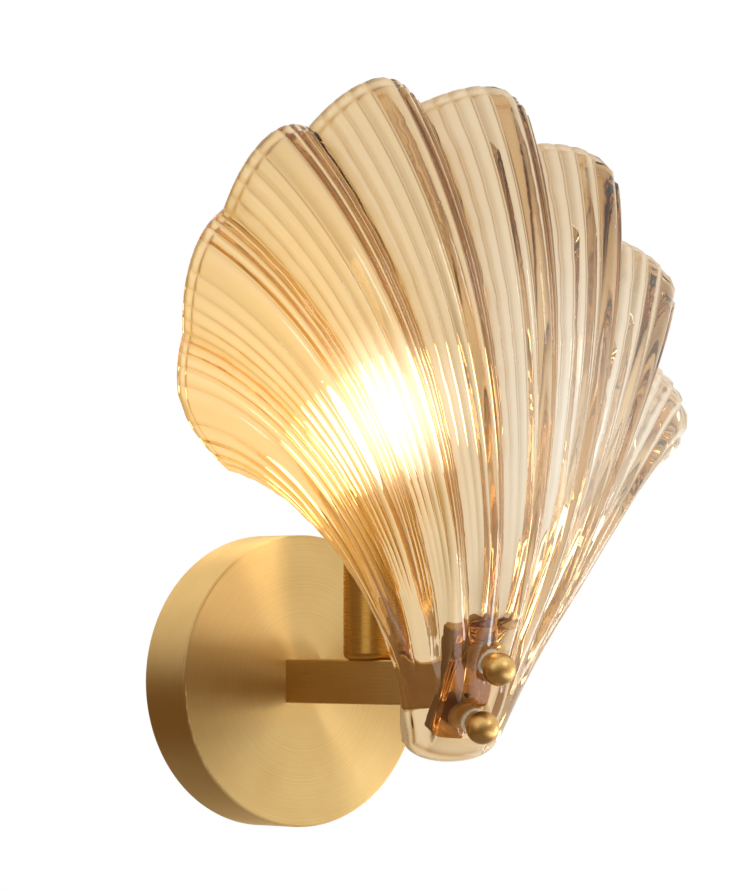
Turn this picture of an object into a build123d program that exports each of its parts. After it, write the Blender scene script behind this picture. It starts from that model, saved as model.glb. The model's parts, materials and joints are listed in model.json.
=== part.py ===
"""Wall sconce: a pressed-glass scallop shell held in front of a small opal bulb.

Frame: +Z up, the front faces -Y, and the wall is the plane Y = 0. The origin is the centre of
the round backplate on the wall. "Reach" below is a distance from the wall, so reach = -Y.
All sizes are millimetres.
"""
from build123d import *
from math import atan2, cos, degrees, pi, radians, sin, sqrt, tan
import os

os.makedirs("parts", exist_ok=True)

# ---------------------------------------------------------------- driving sizes
# Fits
thread_gap = 0.05          # radial play of a screwed joint, drawn as plain cylinders
slip_gap = 0.20            # radial play of a piece that slides on a stud or in a socket
nest_gap = 0.10            # play of a block in the square tube, each side

# Backplate (canopy) and the strap that it hangs on
canopy_diameter = 120.0
canopy_depth = 27.0
canopy_wall = 2.0
canopy_edge_radius = 1.2
strap_width = 24.0
strap_thickness = 2.0
strap_disc_diameter = 42.0
cable_hole_diameter = 22.0
wall_slot_spacing = 64.0
wall_slot_length = 12.0
wall_slot_width = 4.5
ear_reach = 18.0
ear_play = 0.5
screw_pad_thickness = 3.0
screw_pad_width = 12.0
grub_screw_diameter = 4.0
grub_screw_reach = 12.5
grub_socket_width = 2.0
grub_socket_depth = 2.5
grub_engagement = 1.5      # how far a grub screw enters the notch of its ear
grub_sink = 0.5            # grub screw head below the backplate's rim
earth_screw_diameter = 4.0
earth_head_diameter = 7.5
earth_head_height = 2.6
earth_slot_length = 4.9
earth_slot_width = 1.1
earth_washer_diameter = 8.4
earth_washer_thickness = 0.8

# Arm: a square tube on a hollow threaded nipple
arm_width = 18.0
arm_wall = 1.5
arm_edge_radius = 0.8
root_block_length = 12.0
end_block_length = 14.0
nipple_diameter = 10.0
nipple_bore = 7.5
nipple_tail = 2.2
nut_across_flats = 14.0
nut_height = 4.0
canopy_washer_diameter = 22.0
canopy_washer_thickness = 1.5
lug_diameter = 15.0
lug_thickness = 0.8
lug_tab_width = 6.0
lug_tab_drop = 14.0
lug_barrel_diameter = 3.8
lug_barrel_length = 5.0

# Shade clamp: a bar across the end of the arm, leaning with the glass between its two studs
clamp_bar_height = 45.0
clamp_bar_thickness = 7.0
clamp_bar_radius = 2.0
stud_diameter = 4.0
stud_spacing = 25.2
stud_centre_drop = 3.1     # middle of the two studs, below the arm's centre line
stud_end_play = 0.5
clamp_screw_head_diameter = 7.6
clamp_screw_socket = 2.1
clamp_screw_length = 16.0
rear_washer_thickness = 1.5
washer_diameter = 12.0
front_washer_diameter = 10.6
front_washer_thickness = 1.0
sleeve_wall = 1.4
spot_face_depth = 0.7        # below the lowest glass around the two front washers
spot_face_play = 1.2         # radial room round a front washer
ball_diameter = 13.2
ball_collar_diameter = 8.4
ball_collar_length = 1.6
ball_bore_depth = 11.0

# Lamp cup and lampholder
cup_reach = 78.0
cup_diameter = 28.0
cup_height = 72.0
cup_wall = 1.2
cup_floor = 2.0
cup_corner_radius = 2.5
holder_diameter = 23.0
holder_wall = 2.0
holder_cap_height = 10.0
holder_cap_floor = 3.0
holder_floor_height = 30.0   # lampholder seat above its cap's underside
holder_floor_thickness = 3.0
holder_rim_rise = 0.5        # lampholder rim above the bulb base's top
cup_nipple_above_nut = 7.0
screw_shell_wall = 0.5
screw_shell_height = 24.0
contact_height = 2.0
contact_diameter = 7.0

# Bulb: a golf-ball lamp on a 14 mm screw base
bulb_diameter = 45.0
bulb_length = 78.0
bulb_wall = 0.9
bulb_neck_diameter = 12.0
bulb_neck_insert = 6.3       # how far the neck goes down into the base
bulb_shoulder_angle = 52.0   # below the globe's widest line, where the straight taper starts
base_diameter = 13.8
base_height = 19.0
base_wall = 0.4
base_insulator_height = 3.2
base_contact_diameter = 5.0
base_contact_height = 1.2
stem_diameter = 6.0
stem_height = 22.0
stem_flare_height = 5.5
filament_wire_diameter = 0.8
filament_top_span = 4.8
filament_spread = 12.0
filament_shoulder_rise = 8.4
filament_rise = 14.0

# Wiring inside the backplate and the arm
terminal_pitch = 10.0
terminal_width = 16.0
terminal_drop = 32.0         # centre of the terminal block below the centre
terminal_depth = 11.0
terminal_pad_thickness = 1.0
terminal_tube_diameter = 5.0
terminal_tube_bore = 2.6
terminal_screw_diameter = 2.8
terminal_screw_spacing = 8.0
terminal_screw_sink = 0.5
terminal_slot_depth = 0.5
terminal_tube_inset = 1.0    # tube end inside the block's end
terminal_count = 3
wire_diameter = 1.8
wire_pair_offset = 1.8
wire_bend_radius = 5.8
wire_loop_reach = 8.0        # how near the wall the slack loop comes
wire_loop_drop = 10.0
wire_entry = 4.0             # wire end inside its terminal
wire_rise = 4.1              # straight wire above its terminal
neutral_step = 2.0           # neutral's first bend above the lampholder cap's floor
neutral_rise = 8.9           # height over which it crosses to the screw shell

# Glass shell. Each rib of the shell runs from the tip to the rim as a cubic curve through four
# control stations; "fall" is how much nearer the wall the two outer ribs are.
glass_thickness = 5.5
tip_edge_lean = 20.0       # direction in which the thickness is measured at the tip
lobe_count = 8
fan_half_angle = 111.0
rib_bunching = 0.9         # part of a quarter turn that spreads the tip's and the belly's ribs
fan_radius = 124.0
fan_centre_height = 123.5
fan_top_flattening = 0.06
rim_reach = 109.0
rim_lean = 0.04
rim_edge_rise = 10.0
belly_half_width = 93.0
belly_height = 151.0
belly_height_fall = 63.5
belly_reach = 184.0
belly_fall = 52.0
throat_half_width = 40.0
throat_height = 21.5
throat_height_rise = 9.5
throat_reach = 177.5
throat_fall = 37.5
tip_half_width = 21.5
tip_height = -32.0
tip_corner_rise = 8.5
tip_reach = 128.0
corner_start_share = 0.85  # of the fan, where its lower corners begin to round off
corner_cut_share = 0.16    # of the rib length, rounded off at the last rib
lobe_depth = 16.9
lobe_growth_exponent = 0.77
lobe_sharpness_exponent = 0.8
lobe_skew_exponent = 1.10
lobe_valley_share = 0.10   # how rounded a valley is, as a share of a lobe's height
lobe_sunk_share = 0.62     # of the lobes' depth, behind the smooth dome
smooth_share = 0.10        # of a rib from the tip, without lobes
full_lobes_share = 0.40    # of a rib from the tip, where the lobes reach their full depth
pad_half_width = 11.0
pad_above_arm = 22.0
pad_below_arm = 30.0
pad_corner_radius = 4.0
pad_depth = 7.5            # back of the clamp land, behind the front washers' seat
rib_sample_count = 24      # points along a rib
lobe_sample_count = 16     # points across one lobe
surface_tolerance = 0.02
seat_sample_count = 60     # points each way, over the glass under the front washers
seat_patch_share = 0.25    # of the half fan that those points cover
seat_pass_count = 4        # rounds that bring the seat's place and the studs' places together

# ---------------------------------------------------------------- the shell's surface
tip_axis = Vector(0, -cos(radians(tip_edge_lean)), -sin(radians(tip_edge_lean)))


def smooth_step(value, start, end):
    """0 before start, 1 after end, and an even S between them."""
    part = min(max((value - start) / (end - start), 0.0), 1.0)
    return part * part * (3 - 2 * part)


def dome_point(along, across):
    """Smooth dome without lobes: along runs 0..1 from tip to rim, across -1..1 over the fan."""
    square = across * across
    angle = radians(fan_half_angle) * across
    swing = rib_bunching * pi / 2 * across
    full_swing = sin(rib_bunching * pi / 2)
    rise = fan_radius * cos(angle)
    top = 1 - fan_top_flattening if rise > 0 else 1
    tip = (
        tip_half_width * sin(swing) / full_swing,
        tip_reach,
        tip_height + tip_corner_rise * (1 - cos(swing)),
    )
    throat = (
        throat_half_width * across,
        throat_reach - throat_fall * square,
        throat_height + throat_height_rise * square,
    )
    belly = (
        belly_half_width * sin(swing) / full_swing,
        belly_reach - belly_fall * square,
        belly_height - belly_height_fall * square,
    )
    rim = (
        fan_radius * sin(angle),
        rim_reach + rim_lean * rise + rim_edge_rise * square,
        fan_centre_height + rise * top,
    )
    rest = 1 - along
    weights = (rest**3, 3 * along * rest**2, 3 * along**2 * rest, along**3)
    stations = (tip, throat, belly, rim)
    x, reach, z = (sum(w * s[i] for w, s in zip(weights, stations)) for i in range(3))
    return Vector(x, -reach, z)


def lobe_wave(across):
    """Height of the lobes: 0 in a valley and 1 on a crest."""
    place = (abs(across) * lobe_count / 2) % 1.0
    if abs(across) == 1:
        place = 1.0
    swell = abs(sin(pi * place**lobe_skew_exponent))
    floor = lobe_valley_share
    rounded = (sqrt(swell**2 + floor**2) - floor) / (sqrt(1 + floor**2) - floor)
    return rounded**lobe_sharpness_exponent


def shell_point(along, across, depth=0.0):
    """Point on the shell's front face, or depth behind it."""
    past_corner = max((abs(across) - corner_start_share) / (1 - corner_start_share), 0.0)
    along = along * (1 - corner_cut_share * past_corner**2)
    step = 1e-3
    before, after = max(across - step, -1), min(across + step, 1)
    across_dir = dome_point(along, after) - dome_point(along, before)
    along_dir = dome_point(along + step, across) - dome_point(along - step, across)
    normal = along_dir.cross(across_dir).normalized()
    if normal.Y > 0:
        normal = -normal
    grip = smooth_step(along, 0.0, full_lobes_share / 2)
    normal = (normal * grip + tip_axis * (1 - grip)).normalized()
    size = lobe_depth * along**lobe_growth_exponent * smooth_step(along, smooth_share, full_lobes_share)
    height = size * (lobe_wave(across) - lobe_sunk_share)
    return dome_point(along, across) + normal * (height - depth)


def shell_face(depth):
    """One smooth face of the shell through a grid of its points."""
    columns = lobe_count * lobe_sample_count
    rows = [
        [shell_point(i / rib_sample_count, 2 * j / columns - 1, depth) for j in range(columns + 1)]
        for i in range(rib_sample_count + 1)
    ]
    return Face.make_surface_from_array_of_points(rows, tol=surface_tolerance, min_deg=3, max_deg=3)


# ---------------------------------------------------------------- places worked out from the sizes
canopy_radius = canopy_diameter / 2
canopy_inside = canopy_depth - canopy_wall
pad_inner_radius = canopy_radius - canopy_wall - screw_pad_thickness
ear_outer_z = pad_inner_radius - ear_play
arm_half = arm_width / 2
arm_inside = arm_width - 2 * arm_wall
nipple_hole_radius = nipple_diameter / 2 + thread_gap

# The shade clamp leans as the glass does between the two studs.
middle_rib = [shell_point(i / seat_sample_count, 0.0) for i in range(seat_sample_count + 1)]


def front_reach(height):
    """Reach of the glass's front face on its middle rib, at a height."""
    for below, above in zip(middle_rib, middle_rib[1:]):
        if above.Z >= height:
            part = (height - below.Z) / (above.Z - below.Z)
            return -(below.Y + part * (above.Y - below.Y))


spot_face_radius = front_washer_diameter / 2 + spot_face_play
stud_offsets = [-stud_centre_drop + side * stud_spacing / 2 for side in (1, -1)]
upper_offset, lower_offset = stud_offsets
clamp_tilt = atan2(front_reach(upper_offset) - front_reach(lower_offset), stud_spacing)
clamp_axis = Vector(0, -cos(clamp_tilt), -sin(clamp_tilt))
clamp_up = Vector(0, -sin(clamp_tilt), cos(clamp_tilt))

# The front washers' seat: flat spots square to the studs, a little below the lowest glass there.
front_patch = [
    shell_point(full_lobes_share * i / seat_sample_count, seat_patch_share * j / seat_sample_count)
    for i in range(seat_sample_count + 1)
    for j in range(seat_sample_count + 1)
]


def lowest_glass(up):
    """Least distance along the studs of the glass's front face in a spot face, at a height up."""
    inside = [p for p in front_patch if p.X**2 + (p.dot(clamp_up) - up) ** 2 <= spot_face_radius**2]
    return min(p.dot(clamp_axis) for p in inside)


arm_line_reach = front_reach(0)
for _ in range(seat_pass_count):
    arm_line_up = arm_line_reach * sin(clamp_tilt)
    seat_along = min(lowest_glass(arm_line_up + offset) for offset in stud_offsets) - spot_face_depth
    arm_line_reach = seat_along / cos(clamp_tilt)

seat_plane = Plane(origin=(0, -arm_line_reach, 0), x_dir=(1, 0, 0), z_dir=clamp_axis)
stud_places = [(0, offset) for offset in stud_offsets]
bar_front = -(pad_depth + rear_washer_thickness)
bar_back = bar_front - clamp_bar_thickness
print(f"clamp tilt {degrees(clamp_tilt):.4f}, seat reach {arm_line_reach:.3f}")


def finish(part, label):
    """Name a piece and write it to its own file."""
    part.label = label
    export_step(part, f"parts/{label}.step")


# ---------------------------------------------------------------- wall strap (stays on the wall)
with BuildPart() as strap:
    with BuildSketch(Plane.XZ):
        Rectangle(strap_width, 2 * ear_outer_z)
        Circle(strap_disc_diameter / 2)
        Circle(cable_hole_diameter / 2, mode=Mode.SUBTRACT)
        with Locations((0, wall_slot_spacing / 2), (0, -wall_slot_spacing / 2)):
            SlotOverall(wall_slot_length, wall_slot_width, rotation=90, mode=Mode.SUBTRACT)
        with Locations(((strap_disc_diameter + cable_hole_diameter) / 4, 0)):
            Circle(earth_screw_diameter / 2 + thread_gap, mode=Mode.SUBTRACT)
    extrude(amount=strap_thickness)
    with BuildSketch(Plane.XZ):
        for side in (1, -1):
            with Locations((0, side * (ear_outer_z - strap_thickness / 2))):
                Rectangle(strap_width, strap_thickness)
    extrude(amount=ear_reach)
    slot_half = grub_screw_diameter / 2 + 2 * slip_gap
    with BuildSketch(Plane.XY.offset(-canopy_radius)):
        with Locations((0, -(grub_screw_reach + ear_reach) / 2 - ear_reach / 4)):
            Rectangle(2 * slot_half, ear_reach - grub_screw_reach + ear_reach / 2)
        with Locations((0, -grub_screw_reach)):
            Circle(slot_half)
    extrude(amount=canopy_diameter, mode=Mode.SUBTRACT)
finish(strap.part, "wall_strap")

earth_x = (strap_disc_diameter + cable_hole_diameter) / 4
with BuildPart() as earth_washer:
    with BuildSketch(Plane.XZ.offset(strap_thickness)):
        with Locations((earth_x, 0)):
            Circle(earth_washer_diameter / 2)
            Circle(earth_screw_diameter / 2 + slip_gap, mode=Mode.SUBTRACT)
    extrude(amount=earth_washer_thickness)
finish(earth_washer.part, "earth_washer")

with BuildPart() as earth_screw:
    head_start = strap_thickness + earth_washer_thickness
    with BuildSketch(Plane.XZ.offset(slip_gap)):
        with Locations((earth_x, 0)):
            Circle(earth_screw_diameter / 2)
    extrude(amount=head_start - slip_gap)
    with BuildSketch(Plane.XZ.offset(head_start)):
        with Locations((earth_x, 0)):
            Circle(earth_head_diameter / 2)
    extrude(amount=earth_head_height)
    fillet(earth_screw.edges().group_by(Axis.Y)[0], earth_head_height / 3)
    with BuildSketch(Plane.XZ.offset(head_start + earth_head_height / 2)):
        with Locations((earth_x, 0)):
            Rectangle(earth_slot_length, earth_slot_width)
            Rectangle(earth_slot_width, earth_slot_length)
    extrude(amount=earth_head_height, mode=Mode.SUBTRACT)
finish(earth_screw.part, "earth_screw")

# ---------------------------------------------------------------- backplate
with BuildPart() as canopy:
    with BuildSketch(Plane.XZ):
        Circle(canopy_radius)
    extrude(amount=canopy_depth)
    fillet(canopy.edges().group_by(Axis.Y)[0], canopy_edge_radius)
    with BuildSketch(Plane.XZ):
        Circle(canopy_radius - canopy_wall)
    extrude(amount=canopy_inside, mode=Mode.SUBTRACT)
    with BuildSketch(Plane.XZ.offset(canopy_inside)):
        Circle(nipple_hole_radius)
    extrude(amount=canopy_wall, mode=Mode.SUBTRACT)
    for side in (1, -1):
        with BuildSketch(Plane.XY.offset(side * pad_inner_radius)):
            with Locations((0, -grub_screw_reach)):
                Rectangle(screw_pad_width, screw_pad_width)
        extrude(amount=side * (screw_pad_thickness + canopy_wall / 2))
    with BuildSketch(Plane.XY.offset(-canopy_radius)):
        with Locations((0, -grub_screw_reach)):
            Circle(grub_screw_diameter / 2 + thread_gap)
    extrude(amount=canopy_diameter, mode=Mode.SUBTRACT)
finish(canopy.part, "canopy")

grub_tip = ear_outer_z - grub_engagement
grub_head = canopy_radius - grub_sink
with BuildPart() as grub_screws:
    for side in (1, -1):
        with BuildSketch(Plane.XY.offset(side * grub_tip)):
            with Locations((0, -grub_screw_reach)):
                Circle(grub_screw_diameter / 2)
        extrude(amount=side * (grub_head - grub_tip))
        with BuildSketch(Plane.XY.offset(side * grub_head)):
            with Locations((0, -grub_screw_reach)):
                RegularPolygon(grub_socket_width / 2, 6, major_radius=False)
        extrude(amount=-side * grub_socket_depth, mode=Mode.SUBTRACT)
finish(grub_screws.part, "canopy_grub_screws")

# Nipple stack, from the backplate's inside towards the wall: washer, earth lug, nut
washer_back = canopy_inside - canopy_washer_thickness
lug_back = washer_back - lug_thickness
nut_back = lug_back - nut_height
nipple_start = nut_back - nipple_tail
nipple_end = canopy_depth + root_block_length - nipple_tail

with BuildPart() as nipple:
    with BuildSketch(Plane.XZ.offset(nipple_start)):
        Circle(nipple_diameter / 2)
        Circle(nipple_bore / 2, mode=Mode.SUBTRACT)
    extrude(amount=nipple_end - nipple_start)
finish(nipple.part, "arm_nipple")

with BuildPart() as canopy_washer:
    with BuildSketch(Plane.XZ.offset(washer_back)):
        Circle(canopy_washer_diameter / 2)
        Circle(nipple_hole_radius, mode=Mode.SUBTRACT)
    extrude(amount=canopy_washer_thickness)
finish(canopy_washer.part, "canopy_washer")

barrel_reach = canopy_inside - terminal_pad_thickness - terminal_depth / 2
barrel_low = -lug_tab_drop - lug_barrel_length
with BuildPart() as earth_lug:
    with BuildSketch(Plane.XZ.offset(lug_back)):
        Circle(lug_diameter / 2)
        with Locations((0, -lug_tab_drop / 2)):
            Rectangle(lug_tab_width, lug_tab_drop)
        Circle(nipple_hole_radius, mode=Mode.SUBTRACT)
    extrude(amount=lug_thickness)
    with BuildSketch(Plane.XY.offset(-lug_tab_drop)):
        with Locations((0, -(barrel_reach + washer_back) / 2)):
            Rectangle(lug_tab_width / 2, washer_back - barrel_reach)
    extrude(amount=lug_thickness)
    with BuildSketch(Plane.XY.offset(-lug_tab_drop)):
        with Locations((0, -barrel_reach)):
            Circle(lug_barrel_diameter / 2)
    extrude(amount=-lug_barrel_length)
    with BuildSketch(Plane.XY.offset(barrel_low)):
        with Locations((0, -barrel_reach)):
            Circle(wire_diameter / 2 + thread_gap)
    extrude(amount=lug_barrel_length / 2, mode=Mode.SUBTRACT)
finish(earth_lug.part, "earth_lug")

with BuildPart() as nipple_nut:
    with BuildSketch(Plane.XZ.offset(nut_back)):
        RegularPolygon(nut_across_flats / 2, 6, major_radius=False)
        Circle(nipple_hole_radius, mode=Mode.SUBTRACT)
    extrude(amount=nut_height)
finish(nipple_nut.part, "nipple_nut")

# ---------------------------------------------------------------- arm
bar_back_plane = seat_plane.offset(bar_back)
clamp_screw_grip = clamp_screw_length - clamp_bar_thickness
clamp_screw_up = bar_back * tan(clamp_tilt)   # it enters the end block on the arm's centre line
clamp_screw_place = (0, clamp_screw_up)
with BuildPart() as arm:
    with BuildSketch(Plane.XZ.offset(canopy_depth)):
        RectangleRounded(arm_width, arm_width, arm_edge_radius)
        Rectangle(arm_inside, arm_inside, mode=Mode.SUBTRACT)
    extrude(amount=arm_line_reach - canopy_depth)
    split(bisect_by=bar_back_plane, keep=Keep.BOTTOM)
    with BuildSketch(Plane.XY):
        with Locations((0, -cup_reach)):
            Circle(nipple_hole_radius)
    extrude(amount=arm_width, mode=Mode.SUBTRACT)
finish(arm.part, "arm_tube")

with BuildPart() as root_block:
    with BuildSketch(Plane.XZ.offset(canopy_depth)):
        Rectangle(arm_inside - 2 * nest_gap, arm_inside - 2 * nest_gap)
        Circle(nipple_hole_radius, mode=Mode.SUBTRACT)
    extrude(amount=root_block_length)
finish(root_block.part, "arm_root_block")

bar_back_reach = arm_line_reach + bar_back / cos(clamp_tilt)
with BuildPart() as end_block:
    with BuildSketch(Plane.XZ.offset(bar_back_reach - end_block_length)):
        Rectangle(arm_inside - 2 * nest_gap, arm_inside - 2 * nest_gap)
    extrude(amount=2 * end_block_length)
    split(bisect_by=bar_back_plane, keep=Keep.BOTTOM)
    with BuildSketch(bar_back_plane):
        with Locations(clamp_screw_place):
            Circle(stud_diameter / 2 + thread_gap)
    extrude(amount=-clamp_screw_grip, mode=Mode.SUBTRACT)
finish(end_block.part, "arm_end_block")

# ---------------------------------------------------------------- shade clamp
clamp_head_depth = (clamp_screw_head_diameter - stud_diameter) / 2
with BuildPart() as clamp_bar:
    with BuildSketch(bar_back_plane):
        with Locations((0, -stud_centre_drop)):
            RectangleRounded(arm_width, clamp_bar_height, clamp_bar_radius)
        with Locations(*stud_places):
            Circle(stud_diameter / 2 + thread_gap, mode=Mode.SUBTRACT)
    extrude(amount=clamp_bar_thickness)
    screw_mouth = bar_back_plane.offset(clamp_bar_thickness)
    with Locations(screw_mouth.location * Pos(*clamp_screw_place)):
        CounterSinkHole(
            radius=stud_diameter / 2 + thread_gap,
            counter_sink_radius=clamp_screw_head_diameter / 2 + thread_gap,
            counter_sink_angle=90,
        )
finish(clamp_bar.part, "shade_clamp_bar")

with BuildPart() as clamp_screw:
    with BuildSketch(screw_mouth):
        with Locations(clamp_screw_place):
            Circle(clamp_screw_head_diameter / 2)
    extrude(amount=-clamp_head_depth, taper=45)
    with BuildSketch(screw_mouth):
        with Locations(clamp_screw_place):
            Circle(stud_diameter / 2)
    extrude(amount=-clamp_screw_length)
    with BuildSketch(screw_mouth):
        with Locations(clamp_screw_place):
            RegularPolygon(clamp_screw_socket / 2, 6, major_radius=False)
    extrude(amount=-clamp_head_depth, mode=Mode.SUBTRACT)
finish(clamp_screw.part, "clamp_screw")

ball_bore_end = front_washer_thickness + ball_bore_depth
stud_front = ball_bore_end - stud_end_play
with BuildPart() as studs:
    with BuildSketch(bar_back_plane.offset(stud_end_play)):
        with Locations(*stud_places):
            Circle(stud_diameter / 2)
    extrude(amount=stud_front - bar_back - stud_end_play)
    chamfer(studs.edges().sort_by(Axis.Y)[:2], stud_diameter / 10)
finish(studs.part, "shade_studs")

with BuildPart() as rear_washers:
    with BuildSketch(seat_plane.offset(bar_front)):
        with Locations(*stud_places):
            Circle(washer_diameter / 2)
            Circle(stud_diameter / 2 + slip_gap, mode=Mode.SUBTRACT)
    extrude(amount=rear_washer_thickness)
finish(rear_washers.part, "rear_washers")

# ---------------------------------------------------------------- glass shell
front_face = shell_face(0.0)
back_face = shell_face(glass_thickness)
edge_faces = []
for edge in front_face.edges():
    middle = edge.position_at(0.5)
    partner = min(back_face.edges(), key=lambda other: (other.position_at(0.5) - middle).length)
    edge_faces.append(Face.make_surface_from_curves(edge, partner))
shell_solid = Solid(Shell([front_face, back_face, *edge_faces]))

sleeve_radius = stud_diameter / 2 + slip_gap + sleeve_wall
with BuildPart() as glass:
    add(shell_solid)
    with BuildSketch(seat_plane.offset(-pad_depth)):
        with Locations((0, (pad_above_arm - pad_below_arm) / 2)):
            RectangleRounded(2 * pad_half_width, pad_above_arm + pad_below_arm, pad_corner_radius)
    extrude(amount=pad_depth / 2)
    with BuildSketch(seat_plane.offset(-pad_depth)):
        with Locations((0, (pad_above_arm - pad_below_arm) / 2)):
            RectangleRounded(2 * pad_half_width, pad_above_arm + pad_below_arm, pad_corner_radius)
    extrude(amount=-pad_depth, mode=Mode.SUBTRACT)
    with BuildSketch(seat_plane):
        with Locations(*stud_places):
            Circle(spot_face_radius)
    extrude(amount=2 * pad_depth, mode=Mode.SUBTRACT)
    with BuildSketch(seat_plane.offset(-2 * pad_depth)):
        with Locations(*stud_places):
            Circle(sleeve_radius + thread_gap)
    extrude(amount=3 * pad_depth, mode=Mode.SUBTRACT)
finish(glass.part, "shell_glass")

with BuildPart() as sleeves:
    with BuildSketch(seat_plane.offset(-pad_depth)):
        with Locations(*stud_places):
            Circle(sleeve_radius)
            Circle(stud_diameter / 2 + slip_gap, mode=Mode.SUBTRACT)
    extrude(amount=pad_depth)
finish(sleeves.part, "hole_sleeves")

with BuildPart() as front_washers:
    with BuildSketch(seat_plane):
        with Locations(*stud_places):
            Circle(front_washer_diameter / 2)
            Circle(stud_diameter / 2 + slip_gap, mode=Mode.SUBTRACT)
    extrude(amount=front_washer_thickness)
finish(front_washers.part, "front_washers")


def ball_nut(place):
    """Ball nut on a short collar with a blind bore, turned about its stud."""
    ball_radius = ball_diameter / 2
    collar_radius = ball_collar_diameter / 2
    start = front_washer_thickness
    centre = start + ball_collar_length + sqrt(ball_radius**2 - collar_radius**2)
    axis_plane = Plane(
        origin=seat_plane.from_local_coords(Vector(place[0], place[1], 0)),
        x_dir=(1, 0, 0),
        z_dir=-clamp_up,
    )
    with BuildPart() as nut:
        with BuildSketch(axis_plane):
            with BuildLine():
                Polyline(
                    (0, centre + ball_radius),
                    (0, start),
                    (collar_radius, start),
                    (collar_radius, start + ball_collar_length),
                )
                ThreePointArc(
                    (collar_radius, start + ball_collar_length),
                    (ball_radius, centre),
                    (0, centre + ball_radius),
                )
            make_face()
            with Locations((stud_diameter / 4 + slip_gap / 2, (start + ball_bore_end) / 2)):
                Rectangle(stud_diameter / 2 + slip_gap, ball_bore_depth, mode=Mode.SUBTRACT)
        revolve(axis=Axis(axis_plane.origin, clamp_axis))
    return nut.part


for place, name in zip(stud_places, ("upper", "lower")):
    finish(ball_nut(place), f"{name}_ball_nut")

# ---------------------------------------------------------------- lamp cup
cup_floor_top = arm_half + cup_floor
cup_top = arm_half + cup_height
cup_inner_radius = cup_diameter / 2 - cup_wall
cup_centre = (0, -cup_reach)

with BuildPart() as lamp_cup:
    with BuildSketch(Plane.XY.offset(arm_half)):
        with Locations(cup_centre):
            Circle(cup_diameter / 2)
    extrude(amount=cup_height)
    fillet(lamp_cup.edges().group_by(Axis.Z)[0], cup_corner_radius)
    with BuildSketch(Plane.XY.offset(cup_floor_top)):
        with Locations(cup_centre):
            Circle(cup_inner_radius)
    extrude(amount=cup_height, mode=Mode.SUBTRACT)
    with BuildSketch(Plane.XY.offset(arm_half)):
        with Locations(cup_centre):
            Circle(nipple_hole_radius)
    extrude(amount=cup_floor, mode=Mode.SUBTRACT)
finish(lamp_cup.part, "lamp_cup")

square_nut_low = arm_half - arm_wall - nut_height
lock_nut_top = cup_floor_top + nut_height
cup_nipple_top = lock_nut_top + cup_nipple_above_nut


def tower(height, profile_radius, bore_radius, start, label):
    """A round tube standing on the lamp cup's axis."""
    with BuildPart() as piece:
        with BuildSketch(Plane.XY.offset(start)):
            with Locations(cup_centre):
                Circle(profile_radius)
                Circle(bore_radius, mode=Mode.SUBTRACT)
        extrude(amount=height)
    finish(piece.part, label)


tower(
    cup_nipple_top - square_nut_low, nipple_diameter / 2, nipple_bore / 2, square_nut_low, "cup_nipple"
)

with BuildPart() as square_nut:
    with BuildSketch(Plane.XY.offset(square_nut_low)):
        with Locations(cup_centre):
            Rectangle(arm_inside - 4 * nest_gap, arm_inside - 4 * nest_gap)
            Circle(nipple_hole_radius, mode=Mode.SUBTRACT)
    extrude(amount=nut_height)
finish(square_nut.part, "cup_square_nut")

with BuildPart() as lock_nut:
    with BuildSketch(Plane.XY.offset(cup_floor_top)):
        with Locations(cup_centre):
            RegularPolygon(nut_across_flats / 2, 6, major_radius=False)
            Circle(nipple_hole_radius, mode=Mode.SUBTRACT)
    extrude(amount=nut_height)
finish(lock_nut.part, "cup_lock_nut")

# ---------------------------------------------------------------- lampholder
holder_radius = holder_diameter / 2
holder_start = cup_nipple_top - holder_cap_floor
holder_cap_top = holder_start + holder_cap_height
holder_floor_low = holder_start + holder_floor_height - holder_floor_thickness
holder_floor_top = holder_start + holder_floor_height
bulb_foot = holder_floor_top + contact_height
insulator_low = bulb_foot + base_contact_height
shell_low = insulator_low + base_insulator_height
base_top = shell_low + base_height
holder_top = base_top + holder_rim_rise
shell_inner_radius = base_diameter / 2 + slip_gap
shell_outer_radius = shell_inner_radius + screw_shell_wall
neutral_x = (shell_inner_radius + shell_outer_radius) / 2

with BuildPart() as holder_cap:
    with BuildSketch(Plane.XY.offset(holder_start)):
        with Locations(cup_centre):
            Circle(holder_radius)
    extrude(amount=holder_cap_height)
    fillet(holder_cap.edges().group_by(Axis.Z)[0], holder_wall / 2)
    with BuildSketch(Plane.XY.offset(holder_start + holder_cap_floor)):
        with Locations(cup_centre):
            Circle(holder_radius - holder_wall)
    extrude(amount=holder_cap_height, mode=Mode.SUBTRACT)
    with BuildSketch(Plane.XY.offset(holder_start)):
        with Locations(cup_centre):
            Circle(nipple_hole_radius)
    extrude(amount=holder_cap_floor, mode=Mode.SUBTRACT)
finish(holder_cap.part, "lampholder_cap")

with BuildPart() as holder_body:
    with BuildSketch(Plane.XY.offset(holder_cap_top)):
        with Locations(cup_centre):
            Circle(holder_radius)
            Circle(holder_radius - holder_wall, mode=Mode.SUBTRACT)
    extrude(amount=holder_top - holder_cap_top)
    with BuildSketch(Plane.XY.offset(holder_floor_low)):
        with Locations(cup_centre):
            Circle(holder_radius - holder_wall / 2)
    extrude(amount=holder_floor_thickness)
    with BuildSketch(Plane.XY.offset(holder_floor_low)):
        with Locations((-wire_pair_offset, -cup_reach), (neutral_x, -cup_reach)):
            Circle(wire_diameter / 2 + slip_gap)
    extrude(amount=holder_floor_thickness, mode=Mode.SUBTRACT)
    with BuildSketch(Plane.XY.offset(holder_floor_top)):
        with Locations(cup_centre):
            Circle(holder_radius - holder_wall / 2)
            Circle(shell_outer_radius + thread_gap, mode=Mode.SUBTRACT)
    extrude(amount=holder_top - holder_floor_top)
finish(holder_body.part, "lampholder_body")

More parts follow.
